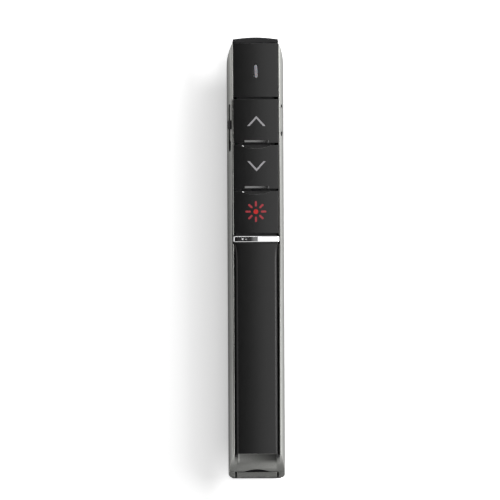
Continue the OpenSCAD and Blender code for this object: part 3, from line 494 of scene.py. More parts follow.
def board_green():
    """Solder mask over etched tracks, with bare laminate at the board's edge."""
    f = Finish("board_green", (0.012, 0.11, 0.045, 1))
    grid = f.nodes.new("ShaderNodeTexBrick")
    grid.inputs["Scale"].default_value = 0.55
    grid.inputs["Mortar Size"].default_value = 0.06
    grid.inputs["Mortar Smooth"].default_value = 0.2
    grid.inputs["Color1"].default_value = grid.inputs["Color2"].default_value = (0, 0, 0, 1)
    grid.inputs["Mortar"].default_value = (1, 1, 1, 1)
    f.link(f.place, grid.inputs["Vector"])
    tracks = grid.outputs["Fac"]
    f.paint(f.both(tracks, 0.7), (0.02, 0.21, 0.085, 1))
    f.shade(f.noise(1.0, 4.0), 0.88, 1.1)
    geometry = f.nodes.new("ShaderNodeNewGeometry")
    facing_up = f.math("ABSOLUTE", f.part(geometry.outputs["True Normal"], "Z"))
    f.paint(f.level(facing_up, 1.0, 0.0, 0.3, 0.7), (0.36, 0.31, 0.13, 1))
    f.polish(f.noise(2.5, 4.0), 0.22, 0.36)
    f.relief(tracks, 0.02)
    f.relief(f.noise(5.0, 2.0), 0.002)
    return f.done()


def cell_jacket():
    """Printed film on the cell: dark, with two pale bands near the cap and bare metal at both ends."""
    low, high = (corner.y/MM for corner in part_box("battery_cell"))
    f = Finish("cell_jacket", (0.032, 0.036, 0.050, 1), metallic=0.35)
    f.paint(f.band(1, high - 9.0, high - 1.4), (0.42, 0.44, 0.47, 1))
    f.paint(f.band(1, high - 10.4, high - 9.8), (0.42, 0.44, 0.47, 1))
    ends = f.math("MAXIMUM", f.level(f.axis(1), 0.0, 1.0, high - 0.7, high - 0.6),
                  f.level(f.axis(1), 1.0, 0.0, low + 0.6, low + 0.7))
    f.paint(ends, (0.62, 0.62, 0.61, 1))
    f.shade(f.noise(0.7, 5.0), 0.88, 1.08)
    f.polish(f.noise(1.2, 5.0), 0.20, 0.34)
    f.relief(f.noise(1.8, 4.0), 0.004)
    return f.done()


def chip_black():
    """Moulded package with a printed first-pin dot."""
    low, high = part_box("controller_chip")
    f = Finish("chip_black", (0.021, 0.021, 0.023, 1))
    spot = f.nodes.new("ShaderNodeVectorMath")
    spot.operation = "DISTANCE"
    f.link(f.place, spot.inputs[0])
    spot.inputs[1].default_value = (low.x/MM + 0.8, high.y/MM - 0.8, high.z/MM)
    f.paint(f.level(spot.outputs["Value"], 1.0, 0.0, 0.30, 0.36), (0.30, 0.30, 0.29, 1))
    f.shade(f.noise(4.0, 4.0), 0.85, 1.15)
    f.polish(f.noise(3.0, 4.0), 0.48, 0.62)
    f.relief(f.noise(9.0, 3.0), 0.006)
    return f.done()


def part_tan():
    """Ceramic chips, tinned in patches along their edges."""
    f = Finish("part_tan", (0.34, 0.235, 0.13, 1))
    f.shade(f.noise(2.2, 4.0), 0.80, 1.12)
    f.paint(f.both(f.worn_edge(), 0.6), (0.60, 0.60, 0.58, 1))
    f.polish(f.noise(3.0, 4.0), 0.34, 0.50)
    f.relief(f.noise(6.0, 3.0), 0.004)
    return f.done()


def ink(name, colour):
    """Printed mark: thin matt ink with a slightly uneven film."""
    f = Finish(name, colour)
    f.shade(f.noise(2.6, 5.0), 0.86, 1.12)
    f.polish(f.noise(4.0, 4.0), 0.42, 0.58)
    f.relief(f.noise(9.0, 3.0), 0.002)
    return f.done()


def frame_black():
    return moulded("frame_black", (0.028, 0.028, 0.029, 1), 0.5, grain=0.006, spread=0.14)


def switch_dark():
    return moulded("switch_dark", (0.045, 0.045, 0.05, 1), 0.45, grain=0.005, worn=(0.5, 0.5, 0.49, 1))


def stem_ivory():
    return moulded("stem_ivory", (0.66, 0.61, 0.51, 1), 0.42, grain=0.004, spread=0.06)


def nub_black():
    return moulded("nub_black", (0.008, 0.008, 0.009, 1), 0.62, grain=0.005, worn=(0.02, 0.02, 0.02, 1),
                   specular_ior_level=0.12)


def plug_black():
    return moulded("plug_black", (0.018, 0.018, 0.020, 1), 0.38, grain=0.003)


def led_yellow():
    return moulded("led_yellow", (0.74, 0.70, 0.38, 1), 0.25, grain=0.003, spread=0.06,
                   subsurface_weight=0.2, subsurface_scale=0.3*MM)


def switch_metal():
    return plated("switch_metal", (0.58, 0.58, 0.57, 1), 0.30, drawn=(1, 0.1, 1))


def crystal_can():
    return plated("crystal_can", (0.64, 0.64, 0.65, 1), 0.22, drawn=(0.1, 1, 1))


def contact_steel():
    return plated("contact_steel", (0.64, 0.63, 0.60, 1), 0.24, drawn=(1, 1, 0.1))


def screw_steel():
    return plated("screw_steel", (0.31, 0.31, 0.32, 1), 0.34, drawn=(1, 1, 0.15), dulled=0.25)


def plug_steel():
    return plated("plug_steel", (0.70, 0.70, 0.69, 1), 0.20, drawn=(1, 0.08, 1))


def contact_gold():
    return plated("contact_gold", (0.83, 0.60, 0.22, 1), 0.18, drawn=(1, 0.1, 1))


def wire_red():
    return insulated_wire("wire_red", (0.50, 0.025, 0.02, 1), second=(0.018, 0.018, 0.018, 1))


def wire_black():
    return insulated_wire("wire_black", (0.020, 0.020, 0.021, 1))


FINISHES = {make.__name__: make() for make in (
    rail_paint, black_panel, nose_black, bright_trim, window_clear, laser_glass, lens_glass, brass_barrel,
    wire_red, wire_black, frame_black, board_green, switch_dark, switch_metal, chip_black, crystal_can,
    part_tan, led_yellow, cell_jacket, contact_steel, screw_steel, stem_ivory, nub_black, plug_steel,
    plug_black, contact_gold)}
MARK_GREY = ink("mark_grey", linear(150, 148, 151))
MARK_RED = ink("mark_red", linear(188, 14, 7))
MARK_ROSE = ink("mark_rose", linear(158, 44, 53))
BLACKENED = plated("blackened_screw", (0.035, 0.035, 0.037, 1), 0.42, drawn=(1, 1, 0.15), dulled=0.2)


# ---- making pieces ----

def add_object(name, data):
    """A new object in the scene."""
    made = bpy.data.objects.new(name, data)
    bpy.context.scene.collection.objects.link(made)
    return made


def mesh_from(name, bm):
    """A mesh of the finished faces, all of which look outwards."""
    bmesh.ops.recalc_face_normals(bm, faces=bm.faces)
    mesh = bpy.data.meshes.new(name)
    bm.to_mesh(mesh)
    bm.free()
    return mesh


def place_piece(name, bm, body, slot, stands_for=(), material=None, smooth=True):
    """Puts a finished shape in the scene, on its body, in place of the CAD nodes it stands for."""
    piece = add_object(name, mesh_from(name, bm))
    piece.data.materials.append(material or FINISHES[slot])
    for polygon in piece.data.polygons:
        polygon.use_smooth = smooth
    if smooth:
        normals = piece.modifiers.new("even_normals", "WEIGHTED_NORMAL")
        normals.weight = 60
        normals.keep_sharp = True
    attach(piece, body)
    if stands_for:
        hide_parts(*stands_for)


def loft(bm, rings):
    """Adds a closed solid through matching rings of points."""
    rows = [[bm.verts.new(point) for point in ring] for ring in rings]
    for row, after in zip(rows, rows[1:]):
        for j in range(len(row)):
            k = (j + 1) % len(row)
            bm.faces.new((row[j], row[k], after[k], after[j]))
    bm.faces.new(rows[0])
    bm.faces.new(rows[-1][::-1])


SHARP = math.radians(28)
FLAT = math.radians(0.3)
TINY = 0.05*MM


def welded(node):
    """A node's solid as one closed mesh with whole flat faces and no tiny edges."""
    bm = bmesh.new()
    bm.from_mesh(frame["nodes"][node].data)
    bmesh.ops.remove_doubles(bm, verts=bm.verts, dist=TINY/100)
    bmesh.ops.dissolve_limit(bm, angle_limit=FLAT, verts=bm.verts, edges=bm.edges)
    bmesh.ops.remove_doubles(bm, verts=bm.verts, dist=TINY)
    return bm


def round_edges(bm, radius, segments=2, where=None, sharpest=SHARP):
    """Rounds the sharp edges of a mesh and marks the new faces for the materials' wear."""
    mark = bm.faces.layers.float.get("edge") or bm.faces.layers.float.new("edge")
    edges = [e for e in bm.edges if len(e.link_faces) == 2 and e.calc_face_angle(0) > sharpest
             and (where is None or where((e.verts[0].co + e.verts[1].co)/2))]
    made = bmesh.ops.bevel(bm, geom=edges, offset=radius, offset_type="OFFSET", segments=segments,
                           profile=0.5, affect="EDGES", clamp_overlap=False, loop_slide=True)
    for face in made["faces"]:
        face[mark] = 1.0
    return bm


def rounded_copy(node, name, radius, segments=2):
    """A piece with the shape of a node and real rounded edges."""
    bm = round_edges(welded(node), radius, segments)
    place_piece(name, bm, BODY_OF[node], SLOT_OF[node], [node])


# ---- the case ----

UNDERSIDE_TOP = TABLE + 0.6*MM
RAIL_SIDE = 7.9*MM
LIP_SIDE, LIP_FOOT = 7.3*MM, 5.0*MM
TAIL_END = CASE_LOW.y + 1.5*MM
SCOOP_REACH, SCOOP_FLOOR = CASE_LOW.y + 9*MM, 5.5*MM


def on_the_outside(point):
    """True where an edge of the case shows from outside or in its openings."""
    side, along, up = abs(point.x), point.y, point.z
    in_the_rails = side > RAIL_SIDE or (side > LIP_SIDE and up > LIP_FOOT)
    in_the_tail = along < TAIL_END or (along < SCOOP_REACH and up > SCOOP_FLOOR)
    return up < UNDERSIDE_TOP or in_the_rails or in_the_tail


WIDEST_Z = 5.0*MM
LIP_Z = 14.45*MM
SIDE_RADIUS = 30.7*MM
FOOT_RADIUS = 3.5*MM
PAINT_REACH = 0.5*MM
# Stations along the body and heights there, in millimetres.
SCOOP_LINE = ((-75.0, 7.7), (-72.45, 7.7), (-69.7, 10.7), (-66.0, 12.4), (-65.9, 14.3), (80.0, 14.3))
WINDOW_LOW = Vector((7.5*MM, 36.2*MM, 10.3*MM))
WINDOW_HIGH = Vector((10.0*MM, 52.6*MM, 13.3*MM))
OUTER_WALL = 7.2*MM


def side_x(up):
    """Half width of the tub at a height."""
    if up > WIDEST_Z:
        return CASE_HIGH.x - SIDE_RADIUS + math.sqrt(SIDE_RADIUS**2 - (up - WIDEST_Z)**2)
    if up < FOOT_RADIUS:
        return CASE_HIGH.x - FOOT_RADIUS + math.sqrt(max(0.0, FOOT_RADIUS**2 - (FOOT_RADIUS - up)**2))
    return CASE_HIGH.x


def scoop_height(along):
    """Height of the tail's scoop, and of the lips ahead of it, at a station. Both are in millimetres."""
    for (y0, z0), (y1, z1) in zip(SCOOP_LINE, SCOOP_LINE[1:]):
        if y0 <= along <= y1:
            return z0 + (z1 - z0)*(along - y0)/(y1 - y0)
    return 0.0


def unsprayed_and_shaded(face, reach):
    """True on the side windows' walls, black as painted shade, and deeper in the tub than the spray
    reached.
    """
    centre = face.calc_center_median()
    spot = Vector((abs(centre.x), centre.y, centre.z))
    faces_sideways = abs(face.normal.x) > 0.5
    # Painted shade: the walls of the side windows are left black.
    if not faces_sideways and all(a < b < c for a, b, c in zip(WINDOW_LOW, spot, WINDOW_HIGH)):
        return True
    faces_out = face.normal.x*math.copysign(1, centre.x) > 0.1
    ends_the_tail = face.normal.y < -0.7 and spot.y < CASE_LOW.y + MM
    if (faces_out or ends_the_tail) and spot.x > OUTER_WALL:
        return False
    within_the_ends = CASE_LOW.y + PAINT_REACH < spot.y < CASE_HIGH.y - PAINT_REACH
    within_the_height = PAINT_REACH < spot.z < scoop_height(spot.y/MM)*MM - PAINT_REACH
    return within_the_ends and within_the_height and spot.x < side_x(spot.z) - reach


def painted_copy(node, name, radius, reach=PAINT_REACH, where=None):
    """A rounded copy of a painted node: its inside is bare black plastic, also painted shade in its
    openings.
    """
    bm = round_edges(welded(node), radius, where=where)
    bmesh.ops.recalc_face_normals(bm, faces=bm.faces)
    bare = bm.faces.layers.float.new("bare")
    for face in bm.faces:
        face[bare] = float(unsprayed_and_shaded(face, reach))
    place_piece(name, bm, BODY_OF[node], "rail_paint", [node])


NOSE_CHAMFER = 0.6*MM
NOSE_CORNER = 0.12*MM


def nose_cover():
    """The nose cap, with the chamfer at each side of its bow drawn in to a crisp corner."""
    bm = welded("nose_cap")
    half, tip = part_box("nose_cap")[1].xy
    for vert in bm.verts:
        on_the_bow = vert.co.y > tip - 2*NOSE_CHAMFER
        if on_the_bow and abs(abs(vert.co.x) - (half - NOSE_CHAMFER)) < NOSE_CHAMFER/10:
            vert.co.x = math.copysign(half - NOSE_CORNER, vert.co.x)
    round_edges(bm, radius=0.12*MM)
    place_piece("nose_cover", bm, "case", "nose_black", ["nose_cap"])


painted_copy("case_body", "case_shell", radius=0.15*MM, where=on_the_outside)
nose_cover()
rounded_copy("aperture_ring", "aperture_trim", radius=0.06*MM)
rounded_copy("laser_window", "laser_pane", radius=0.04*MM)
painted_copy("battery_door", "door_cover", radius=0.1*MM)
rounded_copy("receiver_grip", "receiver_end", radius=0.15*MM, segments=3)

# ---- the top face ----

rounded_copy("head_panel", "head_cover", radius=0.12*MM, segments=3)


LENS_SHIFT = Vector((0.12*MM, -0.11*MM, 0))
LENS_TURN = math.radians(2.8)
LENS_SCALE = (0.77, 0.955, 1.0)


def status_lens():
    """The end of the light pipe, a little loose in its slot and set slightly askew."""
    bm = welded("status_window")
    centre = middle_of("status_window")
    askew = Matrix.Rotation(LENS_TURN, 3, "Z") @ Matrix.Diagonal(LENS_SCALE)
    for vert in bm.verts:
        vert.co = centre + LENS_SHIFT + askew @ (vert.co - centre)
    round_edges(bm, radius=0.06*MM)
    place_piece("status_lens", bm, "case", "window_clear", ["status_window"])


status_lens()

# The half length, end taper and section of a rib, in millimetres.
RIB_HALF = 4.4
RIB_TAPER = 0.55
RIB_PROFILE = ((0.02, -0.30), (0.02, 0.10), (0.05, 0.18), (0.10, 0.235), (0.17, 0.262), (0.24, 0.25),
               (0.94, -0.012), (0.96, -0.30))
DIMPLE_HALF = 4.8*MM
DIMPLE_REACH = 1.15*MM
DIMPLE_CLEARANCE = 0.03*MM
DIMPLE_DEPTH = 0.1*MM
DIMPLE_RADIUS = 0.28*MM
KEY_RADIUS = 0.10*MM


def crease(edges):
    """Keeps the shading on the two sides of these edges apart."""
    for edge in edges:
        edge.smooth = False


def key_cap(key):
    """A key without its rib, which is a piece of its own. The rim of its dimple has a wide bevel."""
    bm = welded(key)
    nose_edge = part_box(key)[1].y
    for vert in bm.verts:
        vert.co.z = min(vert.co.z, crown(vert.co.x))

    def on_the_rim(p):
        to_the_nose = nose_edge - p.y
        in_the_dimple = abs(p.x) < DIMPLE_HALF and DIMPLE_CLEARANCE < to_the_nose < DIMPLE_REACH
        return in_the_dimple and p.z > crown(p.x) - DIMPLE_DEPTH

    round_edges(bm, DIMPLE_RADIUS, segments=4, where=on_the_rim)
    edge = bm.faces.layers.float["edge"]
    rubbed = bm.faces.layers.float.new("rubbed")
    rim = bm.faces.layers.float.new("rim")
    for face in bm.faces:
        face[rubbed] = face[rim] = face[edge]
    round_edges(bm, KEY_RADIUS, where=lambda p: not on_the_rim(p))
    place_piece(key.replace("_key", "_cap"), bm, key, "black_panel", [key])


def thumb_rib(key):
    """The rib at a key's tail edge: it follows the crown, slopes to the nose and tapers at its ends."""
    tail_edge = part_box(key)[0].y
    steps = 44
    rings = []
    for i in range(steps + 1):
        x = RIB_HALF*(2*i/steps - 1)
        share = min(1.0, (RIB_HALF - abs(x))/RIB_TAPER)
        rings.append([(x*MM, tail_edge + y*MM, crown(x*MM) + (z*share if z > 0 else z)*MM)
                      for y, z in RIB_PROFILE])
    bm = bmesh.new()
    loft(bm, rings)
    crease([edge for edge in bm.edges if abs(edge.verts[0].co.x - edge.verts[1].co.x) > TINY])
    rubbed = bm.faces.layers.float.new("rubbed")
    for face in bm.faces:
        face[rubbed] = 1.0
    place_piece(key.replace("_key", "_rib"), bm, key, "black_panel")


for key in ("page_up_key", "page_down_key", "laser_key"):
    key_cap(key)
for key in ("page_up_key", "page_down_key"):
    thumb_rib(key)

BAR_TAIL_EDGE = 0.48*MM
BAR_NOSE_EDGE = 0.10*MM
BAR_BEVEL = 0.34*MM
BAR_POLISH_RADIUS = 0.04*MM
BAR_PROUD = 0.8*MM
BAR_END_WIDTH = 0.64*MM
BAR_END_SLOPE = math.radians(38)

GRIP_LOW, GRIP_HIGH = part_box("grip_panel")
GRIP_HALF = GRIP_HIGH.x
GRIP_START = GRIP_HIGH.y + BAR_TAIL_EDGE
EDGE_WIDTH = 1.2*MM
EDGE_FALL = 0.84
EDGE_RUN = 6.5*MM
SCOOP_START = -66.0*MM
PRONG_CUT = -66.3*MM
PRONG_SLOPE = 1.1
SCOOP_SIDE = 0.25*MM
GRIP_RADIUS = 0.08*MM
START_ZONE = 0.4*MM


def grip_stations():
    """Places along the grip, close together where its edge curves in and at its prongs."""
    turns = 12
    curved = [GRIP_START - EDGE_RUN*(1 - math.cos(math.pi/2*i/turns)) for i in range(turns + 1)]
    spans = 10
    straight = [curved[-1] + (SCOOP_START - curved[-1])*i/spans for i in range(1, spans + 1)]
    return curved + straight + [PRONG_CUT, GRIP_LOW.y]


def grip_columns(y):
    """Heights across the grip at one station: crown, then a straight slope down to each side."""
    t = min(1.0, (GRIP_START - y)/EDGE_RUN)
    half = GRIP_HALF - EDGE_WIDTH*math.sqrt(1 - (1 - t)**2)
    spans = 9
    inner = [half*i/spans for i in range(spans + 1)]
    outer = [min(GRIP_HALF, half + SCOOP_SIDE), GRIP_HALF]
    points = [(x, crown(x)) for x in inner] + [(x, crown(half) - EDGE_FALL*(x - half)) for x in outer]
    if y <= PRONG_CUT:
        limit = LIP_Z - PRONG_SLOPE*(PRONG_CUT - y)
        points = [(x, min(z, limit)) for x, z in points]
    return [(-x, z) for x, z in reversed(points[1:])] + points


def grip_cover():
    """The grip panel as one lofted solid, whose two prongs reach past the scoop's edge."""
    bm = bmesh.new()
    stations = grip_stations()
    top = [[bm.verts.new((x, y, z)) for x, z in grip_columns(y)] for y in stations]
    under = [[bm.verts.new((x, y, GRIP_LOW.z)) for x, _ in grip_columns(y)] for y in stations]
    columns = len(top[0]) - 1

    def solid(j, i):
        if not (0 <= j < len(stations) - 1 and 0 <= i < columns):
            return False
        return stations[j] > SCOOP_START + MM/100 or i in (0, columns - 1)

    for j in range(len(stations) - 1):
        for i in range(columns):
            if not solid(j, i):
                continue
            for sheet in (top, under):
                bm.faces.new((sheet[j][i], sheet[j][i + 1], sheet[j + 1][i + 1], sheet[j + 1][i]))
            walls = (((j - 1, i), (j, i), (j, i + 1)), ((j + 1, i), (j + 1, i), (j + 1, i + 1)),
                     ((j, i - 1), (j, i), (j + 1, i)), ((j, i + 1), (j, i + 1), (j + 1, i + 1)))
            for beside, (a, b), (c, d) in walls:
                if not solid(*beside):
                    bm.faces.new((top[a][b], top[c][d], under[c][d], under[a][b]))
    bmesh.ops.remove_doubles(bm, verts=bm.verts, dist=TINY/50)
    bmesh.ops.recalc_face_normals(bm, faces=bm.faces)

    def above_the_underside(p):
        beside_the_start = GRIP_START - START_ZONE < p.y < GRIP_START - TINY
        return p.z > GRIP_LOW.z + 2*TINY and not beside_the_start

    round_edges(bm, GRIP_RADIUS, where=above_the_underside)
    place_piece("grip_cover", bm, "case", "black_panel", ["grip_panel"])


grip_cover()


def bar_outline(low, high):
    """Section of the bar across the body: crowned, with a cut facet at each end."""
    steps = 24
    lift = high.z - crown(0)
    inset = high.x - BAR_END_WIDTH
    end_z = crown(inset) + lift - BAR_END_WIDTH*math.tan(BAR_END_SLOPE)
    crest = [(inset*(1 - 2*i/steps), crown(inset*(1 - 2*i/steps)) + lift) for i in range(steps + 1)]
    return [(low.x, low.z), (high.x, low.z), (high.x, end_z)] + crest + [(low.x, end_z)]


def bright_bar():
    """The crowned trim bar: cut bevels all round its top, then a fine polish radius."""
    low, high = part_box("chrome_bar")
    tail_edge, nose_edge = low.y + BAR_TAIL_EDGE, high.y - BAR_NOSE_EDGE
    bm = bmesh.new()
    front = bm.faces.new([bm.verts.new((x, tail_edge, z)) for x, z in bar_outline(low, high)])
    grown = bmesh.ops.extrude_face_region(bm, geom=[front])
    moved = [v for v in grown["geom"] if isinstance(v, bmesh.types.BMVert)]
    bmesh.ops.translate(bm, verts=moved, vec=(0, nose_edge - tail_edge, 0))
    bmesh.ops.recalc_face_normals(bm, faces=bm.faces)

    def on_the_long_sides(p):
        return p.z > high.z - BAR_PROUD and min(abs(p.y - tail_edge), abs(p.y - nose_edge)) < TINY

    round_edges(bm, BAR_BEVEL, segments=1, where=on_the_long_sides)
    round_edges(bm, BAR_POLISH_RADIUS, sharpest=math.radians(20))
    place_piece("bright_bar", bm, "case", "bright_trim", ["chrome_bar"])


bright_bar()

# ---- marks on the keys ----

INK_TOP = 0.012*MM
INK_UNDERSIDE = -0.018*MM
INK_STEP = 0.35*MM
POINT_SHARE = 0.02


def strip(start, end, width, start_cut, end_cut):
    """Outline of a straight stroke in short steps. A cut is the direction that an end is trimmed along."""
    along = (end - start).normalized()
    across = Vector((-along.y, along.x))
    steps = max(2, round((end - start).length/INK_STEP))

    def shift(cut, side):
        return side*width/2*cut.dot(along)/cut.dot(across)

    sides = []
    for side in (1, -1):
        first = start + along*shift(start_cut, side) + across*side*width/2
        last = end + along*shift(end_cut, side) + across*side*width/2
        sides.append([first.lerp(last, i/steps) for i in range(steps + 1)])
    return sides


def round_stroke(start, end, width):
    """A straight stroke with round ends, as two matching sides that never quite meet."""
    along = (end - start).normalized()
    across = Vector((-along.y, along.x))
    turns = 5
    stations = []
    for i in range(turns + 1):
        a = math.pi/2*i/turns
        stations.append((start + along*(width/2)*(1 - math.cos(a)), math.sin(a)))
    for i in range(turns, -1, -1):
        a = math.pi/2*i/turns
        stations.append((end - along*(width/2)*(1 - math.cos(a)), math.sin(a)))
    return [[p + across*side*width/2*max(share, POINT_SHARE) for p, share in stations] for side in (1, -1)]


def print_mark(name, strokes, material, body):
    """Thin ink laid on the crowned face: each stroke is a pair of matching sides."""
    bm = bmesh.new()
    for left, right in strokes:
        rings = []
        for a, b in zip(left, right):
            corners = ((a, INK_TOP), (b, INK_TOP), (b, INK_UNDERSIDE), (a, INK_UNDERSIDE))
            rings.append([(p.x, p.y, crown(p.x) + lift) for p, lift in corners])
        loft(bm, rings)
    place_piece(name, bm, body, "black_panel", material=material, smooth=False)


CHEVRON_HALF = 2.72*MM
CHEVRON_FOOT = -1.70*MM
CHEVRON_APEX = 1.28*MM
CHEVRON_STROKE = 0.60*MM
LEVEL, UPRIGHT = Vector((1, 0)), Vector((0, 1))


def chevron(key, direction, shift):
    """Two mitred strokes that meet at an apex, with level cut feet."""
    centre = middle_of(key).xy + Vector(shift)*MM
    apex = centre + Vector((0, direction*CHEVRON_APEX))
    feet = [centre + Vector((side*CHEVRON_HALF, direction*CHEVRON_FOOT)) for side in (-1, 1)]
    return [strip(foot, apex, CHEVRON_STROKE, LEVEL, UPRIGHT) for foot in feet]


print_mark("page_up_mark", chevron("page_up_key", 1, (0.16, 0.0)), MARK_GREY, "page_up_key")
print_mark("page_down_mark", chevron("page_down_key", -1, (0.20, 0.26)), MARK_GREY, "page_down_key")

RAY_COUNT = 8
RAY_START = 1.70*MM
RAY_END = 3.55*MM
RAY_WIDTH = 0.68*MM
DOT_RADIUS = 0.82*MM


def burst(centre):
    """Round-ended rays about a dot."""
    rays = []
    for i in range(RAY_COUNT):
        turn = 2*math.pi*i/RAY_COUNT
        direction = Vector((math.cos(turn), math.sin(turn)))
        rays.append(round_stroke(centre + direction*RAY_START, centre + direction*RAY_END, RAY_WIDTH))
    return rays


laser_centre = middle_of("laser_key").xy + Vector((-0.10*MM, 0.17*MM))
dot = round_stroke(laser_centre - DOT_RADIUS*LEVEL, laser_centre + DOT_RADIUS*LEVEL, 2*DOT_RADIUS)
print_mark("laser_rays", burst(laser_centre), MARK_ROSE, "laser_key")
print_mark("laser_dot", [dot], MARK_RED, "laser_key")

# ---- side controls ----

painted_copy("power_slider", "slider_plate", radius=0.10*MM, reach=1.2*MM)
painted_copy("volume_rocker", "rocker_cover", radius=0.12*MM, reach=1.0*MM)

NUB_PROUD = 0.48*MM
NUB_GROOVES = 4
NUB_GROOVE_DEPTH = 0.10*MM
NUB_SINK = 0.33*MM
NUB_TOP = 14.2*MM
NUB_BRIM = 0.1*MM
NUB_END_SHARE = 0.4
NUB_END_RISE = 8
WINDOW_TOP = 13.2*MM
RUNNING_GAP = 0.03*MM


def slider_nub():
    """The thumb nub: grooved, sunk in the slider's face, and lapped over the window's upper edge."""
    low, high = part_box("power_nub")
    steps, spans = 32, 8
    heights = [low.z + (NUB_TOP - low.z)*j/spans for j in range(spans + 1)]
    rings = []
    for i in range(steps + 1):
        share = i/steps
        y = low.y + (high.y - low.y)*share
        groove = NUB_GROOVE_DEPTH*(0.5 - 0.5*math.cos(2*math.pi*NUB_GROOVES*share))
        proud = (NUB_PROUD - groove)*min(1.0, NUB_END_SHARE + NUB_END_RISE*min(share, 1 - share))
        profile = [(side_x(z) + (proud if z < NUB_TOP - NUB_BRIM else 2*RUNNING_GAP), z) for z in heights]
        profile += [(side_x(z) + RUNNING_GAP, z) for z in (NUB_TOP - NUB_BRIM/2, WINDOW_TOP + RUNNING_GAP)]
        profile += [(side_x(z) - NUB_SINK, z) for z in (WINDOW_TOP - RUNNING_GAP, low.z)]
        rings.append([(-x, y, z) for x, z in profile])
    bm = bmesh.new()
    loft(bm, rings)
    bmesh.ops.recalc_face_normals(bm, faces=bm.faces)
    crease([edge for edge in bm.edges if edge.calc_face_angle(0) > math.radians(40)])
    place_piece("slider_nub", bm, "power_slider", "nub_black", ["power_nub"])


slider_nub()

# ---- inner pieces that keep their CAD shape ----

# The radius of each piece's edges, in millimetres.
INNER_RADIUS = {
    "key_frame": 0.03, "battery_cradle": 0.05, "receiver_dock": 0.1, "main_board": 0.03,
    "key_switches": 0.05, "volume_switches": 0.03, "power_switch": 0.08, "controller_chip": 0.06,
    "radio_crystal": 0.12, "board_parts": 0.05, "status_led": 0.06, "battery_cell": 0.25,
    "cell_cap": 0.12, "negative_contact": 0.05, "positive_contact": 0.05, "case_screws": 0.03,
    "frame_screws": 0.03, "rocker_pin": 0.05, "page_up_stem": 0.1, "page_down_stem": 0.1,
    "laser_key_stem": 0.1, "power_switch_lever": 0.1, "laser_barrel": 0.08, "laser_lens": 0.08,
    "laser_leads": 0.0, "battery_lead": 0.0, "battery_spring": 0.0, "receiver_shell": 0.06,
    "receiver_tongue": 0.08, "receiver_contacts": 0.02,
}


def refine(node, radius):
    """Gives a carried-over node its finish, welded faces and rounded edges."""
    piece = frame["nodes"][node]
    piece.data.materials.clear()
    piece.data.materials.append(BLACKENED if node == "frame_screws" else FINISHES[SLOT_OF[node]])
    for polygon in piece.data.polygons:
        polygon.material_index = 0
        polygon.use_smooth = True
    weld = piece.modifiers.new("weld", "WELD")
    weld.merge_threshold = TINY/100
    if radius:
        bevel = piece.modifiers.new("round_edges", "BEVEL")
        bevel.width = radius*MM
        bevel.segments = 2
        bevel.limit_method = "ANGLE"
        bevel.angle_limit = SHARP
    normals = piece.modifiers.new("even_normals", "WEIGHTED_NORMAL")
    normals.weight = 60


for node, radius in INNER_RADIUS.items():
    refine(node, radius)

# ---- floor, world, lamps and camera ----

FACE_PX_PER_MM = 2.955
PHOTO_SIDE_PX = 500
OBJECT_CENTRE_PX = (256.4, 258.75)
CAMERA_DISTANCE = 1.6
SEEN_FROM_LEFT = math.radians(1.2)
ROLL = math.radians(0.27)

FLOOR_HALF = 3.0
FLOOR_GAP = 0.02*MM
FLOOR_ALBEDO = 0.90
GLOW_TO_CAMERA = 0.355
GLOW_IN_REFLECTIONS = 0.30
LAMPS_REACH = (0.2, 1.0)
# Each zone of the floor is a product of ranges: axis, start and end in millimetres, level at each.
SHADOW_LIFTS = (
    (("X", -17, -6, 0.0, 0.36), ("Y", -76, -60, 1.0, 0.0), ("Y", -92, -84, 0.0, 1.0)),
    (("X", -24, -14, 0.0, 0.24), ("Y", 56, 66, 0.0, 1.0)),
)


def seen_by(tree, *rays):
    """1 for the kinds of ray named, and 0 for all others."""
    path = tree.nodes.new("ShaderNodeLightPath")
    share = 0.0
    for ray in rays:
        share = tree.math("MAXIMUM", share, path.outputs[ray])
    return share


def shadow_lift(tree, place):
    """Extra glow of the floor at the two ends of the shadow, where the photo is cleaned up to white."""
    total = 0.0
    for zone in SHADOW_LIFTS:
        lift = 1.0
        for axis, start, end, low, high in zone:
            step = tree.level(tree.part(place, axis), low, high, start*MM, end*MM, smooth=True)
            lift = tree.both(lift, step)
        total = tree.math("ADD", total, lift)
    return total


def floor_material():
    """Pale floor that reads white to the camera, and keeps the object's shadow.

    Beyond the lamps' reach its own glow takes over, so that it runs into the white of the world.
    """
    material = bpy.data.materials.new("floor_white")
    tree = Tree(material)
    shader = tree.nodes["Principled BSDF"]
    shader.inputs["Base Color"].default_value = (FLOOR_ALBEDO, FLOOR_ALBEDO, FLOOR_ALBEDO, 1)
    shader.inputs["Roughness"].default_value = 0.9
    shader.inputs["Specular IOR Level"].default_value = 0.1
    shader.inputs["Emission Color"].default_value = (1, 1, 1, 1)
    place = tree.nodes.new("ShaderNodeTexCoord").outputs["Object"]
    reach = tree.nodes.new("ShaderNodeVectorMath")
    reach.operation = "LENGTH"
    tree.link(place, reach.inputs[0])
    near_to_far = tree.level(reach.outputs["Value"], GLOW_TO_CAMERA, 1.0, *LAMPS_REACH, smooth=True)
    lifted = tree.math("ADD", near_to_far, shadow_lift(tree, place))
    direct = tree.both(lifted, seen_by(tree, "Is Camera Ray", "Is Transmission Ray"))
    mirrored = tree.both(seen_by(tree, "Is Glossy Ray"), GLOW_IN_REFLECTIONS)
    tree.link(tree.math("ADD", direct, mirrored), shader.inputs["Emission Strength"])
    return material


def floor():
    """The table that the object lies on."""
    bm = bmesh.new()
    bmesh.ops.create_grid(bm, x_segments=8, y_segments=8, size=FLOOR_HALF)
    bmesh.ops.translate(bm, verts=bm.verts, vec=(0, 0, TABLE - FLOOR_GAP))
    piece = add_object("floor", mesh_from("floor", bm))
    piece.data.materials.append(floor_material())


ROOM_LIGHT = 0.20
CEILING_RISE = (0.25, 0.55)
CEILING_DARK = 0.004
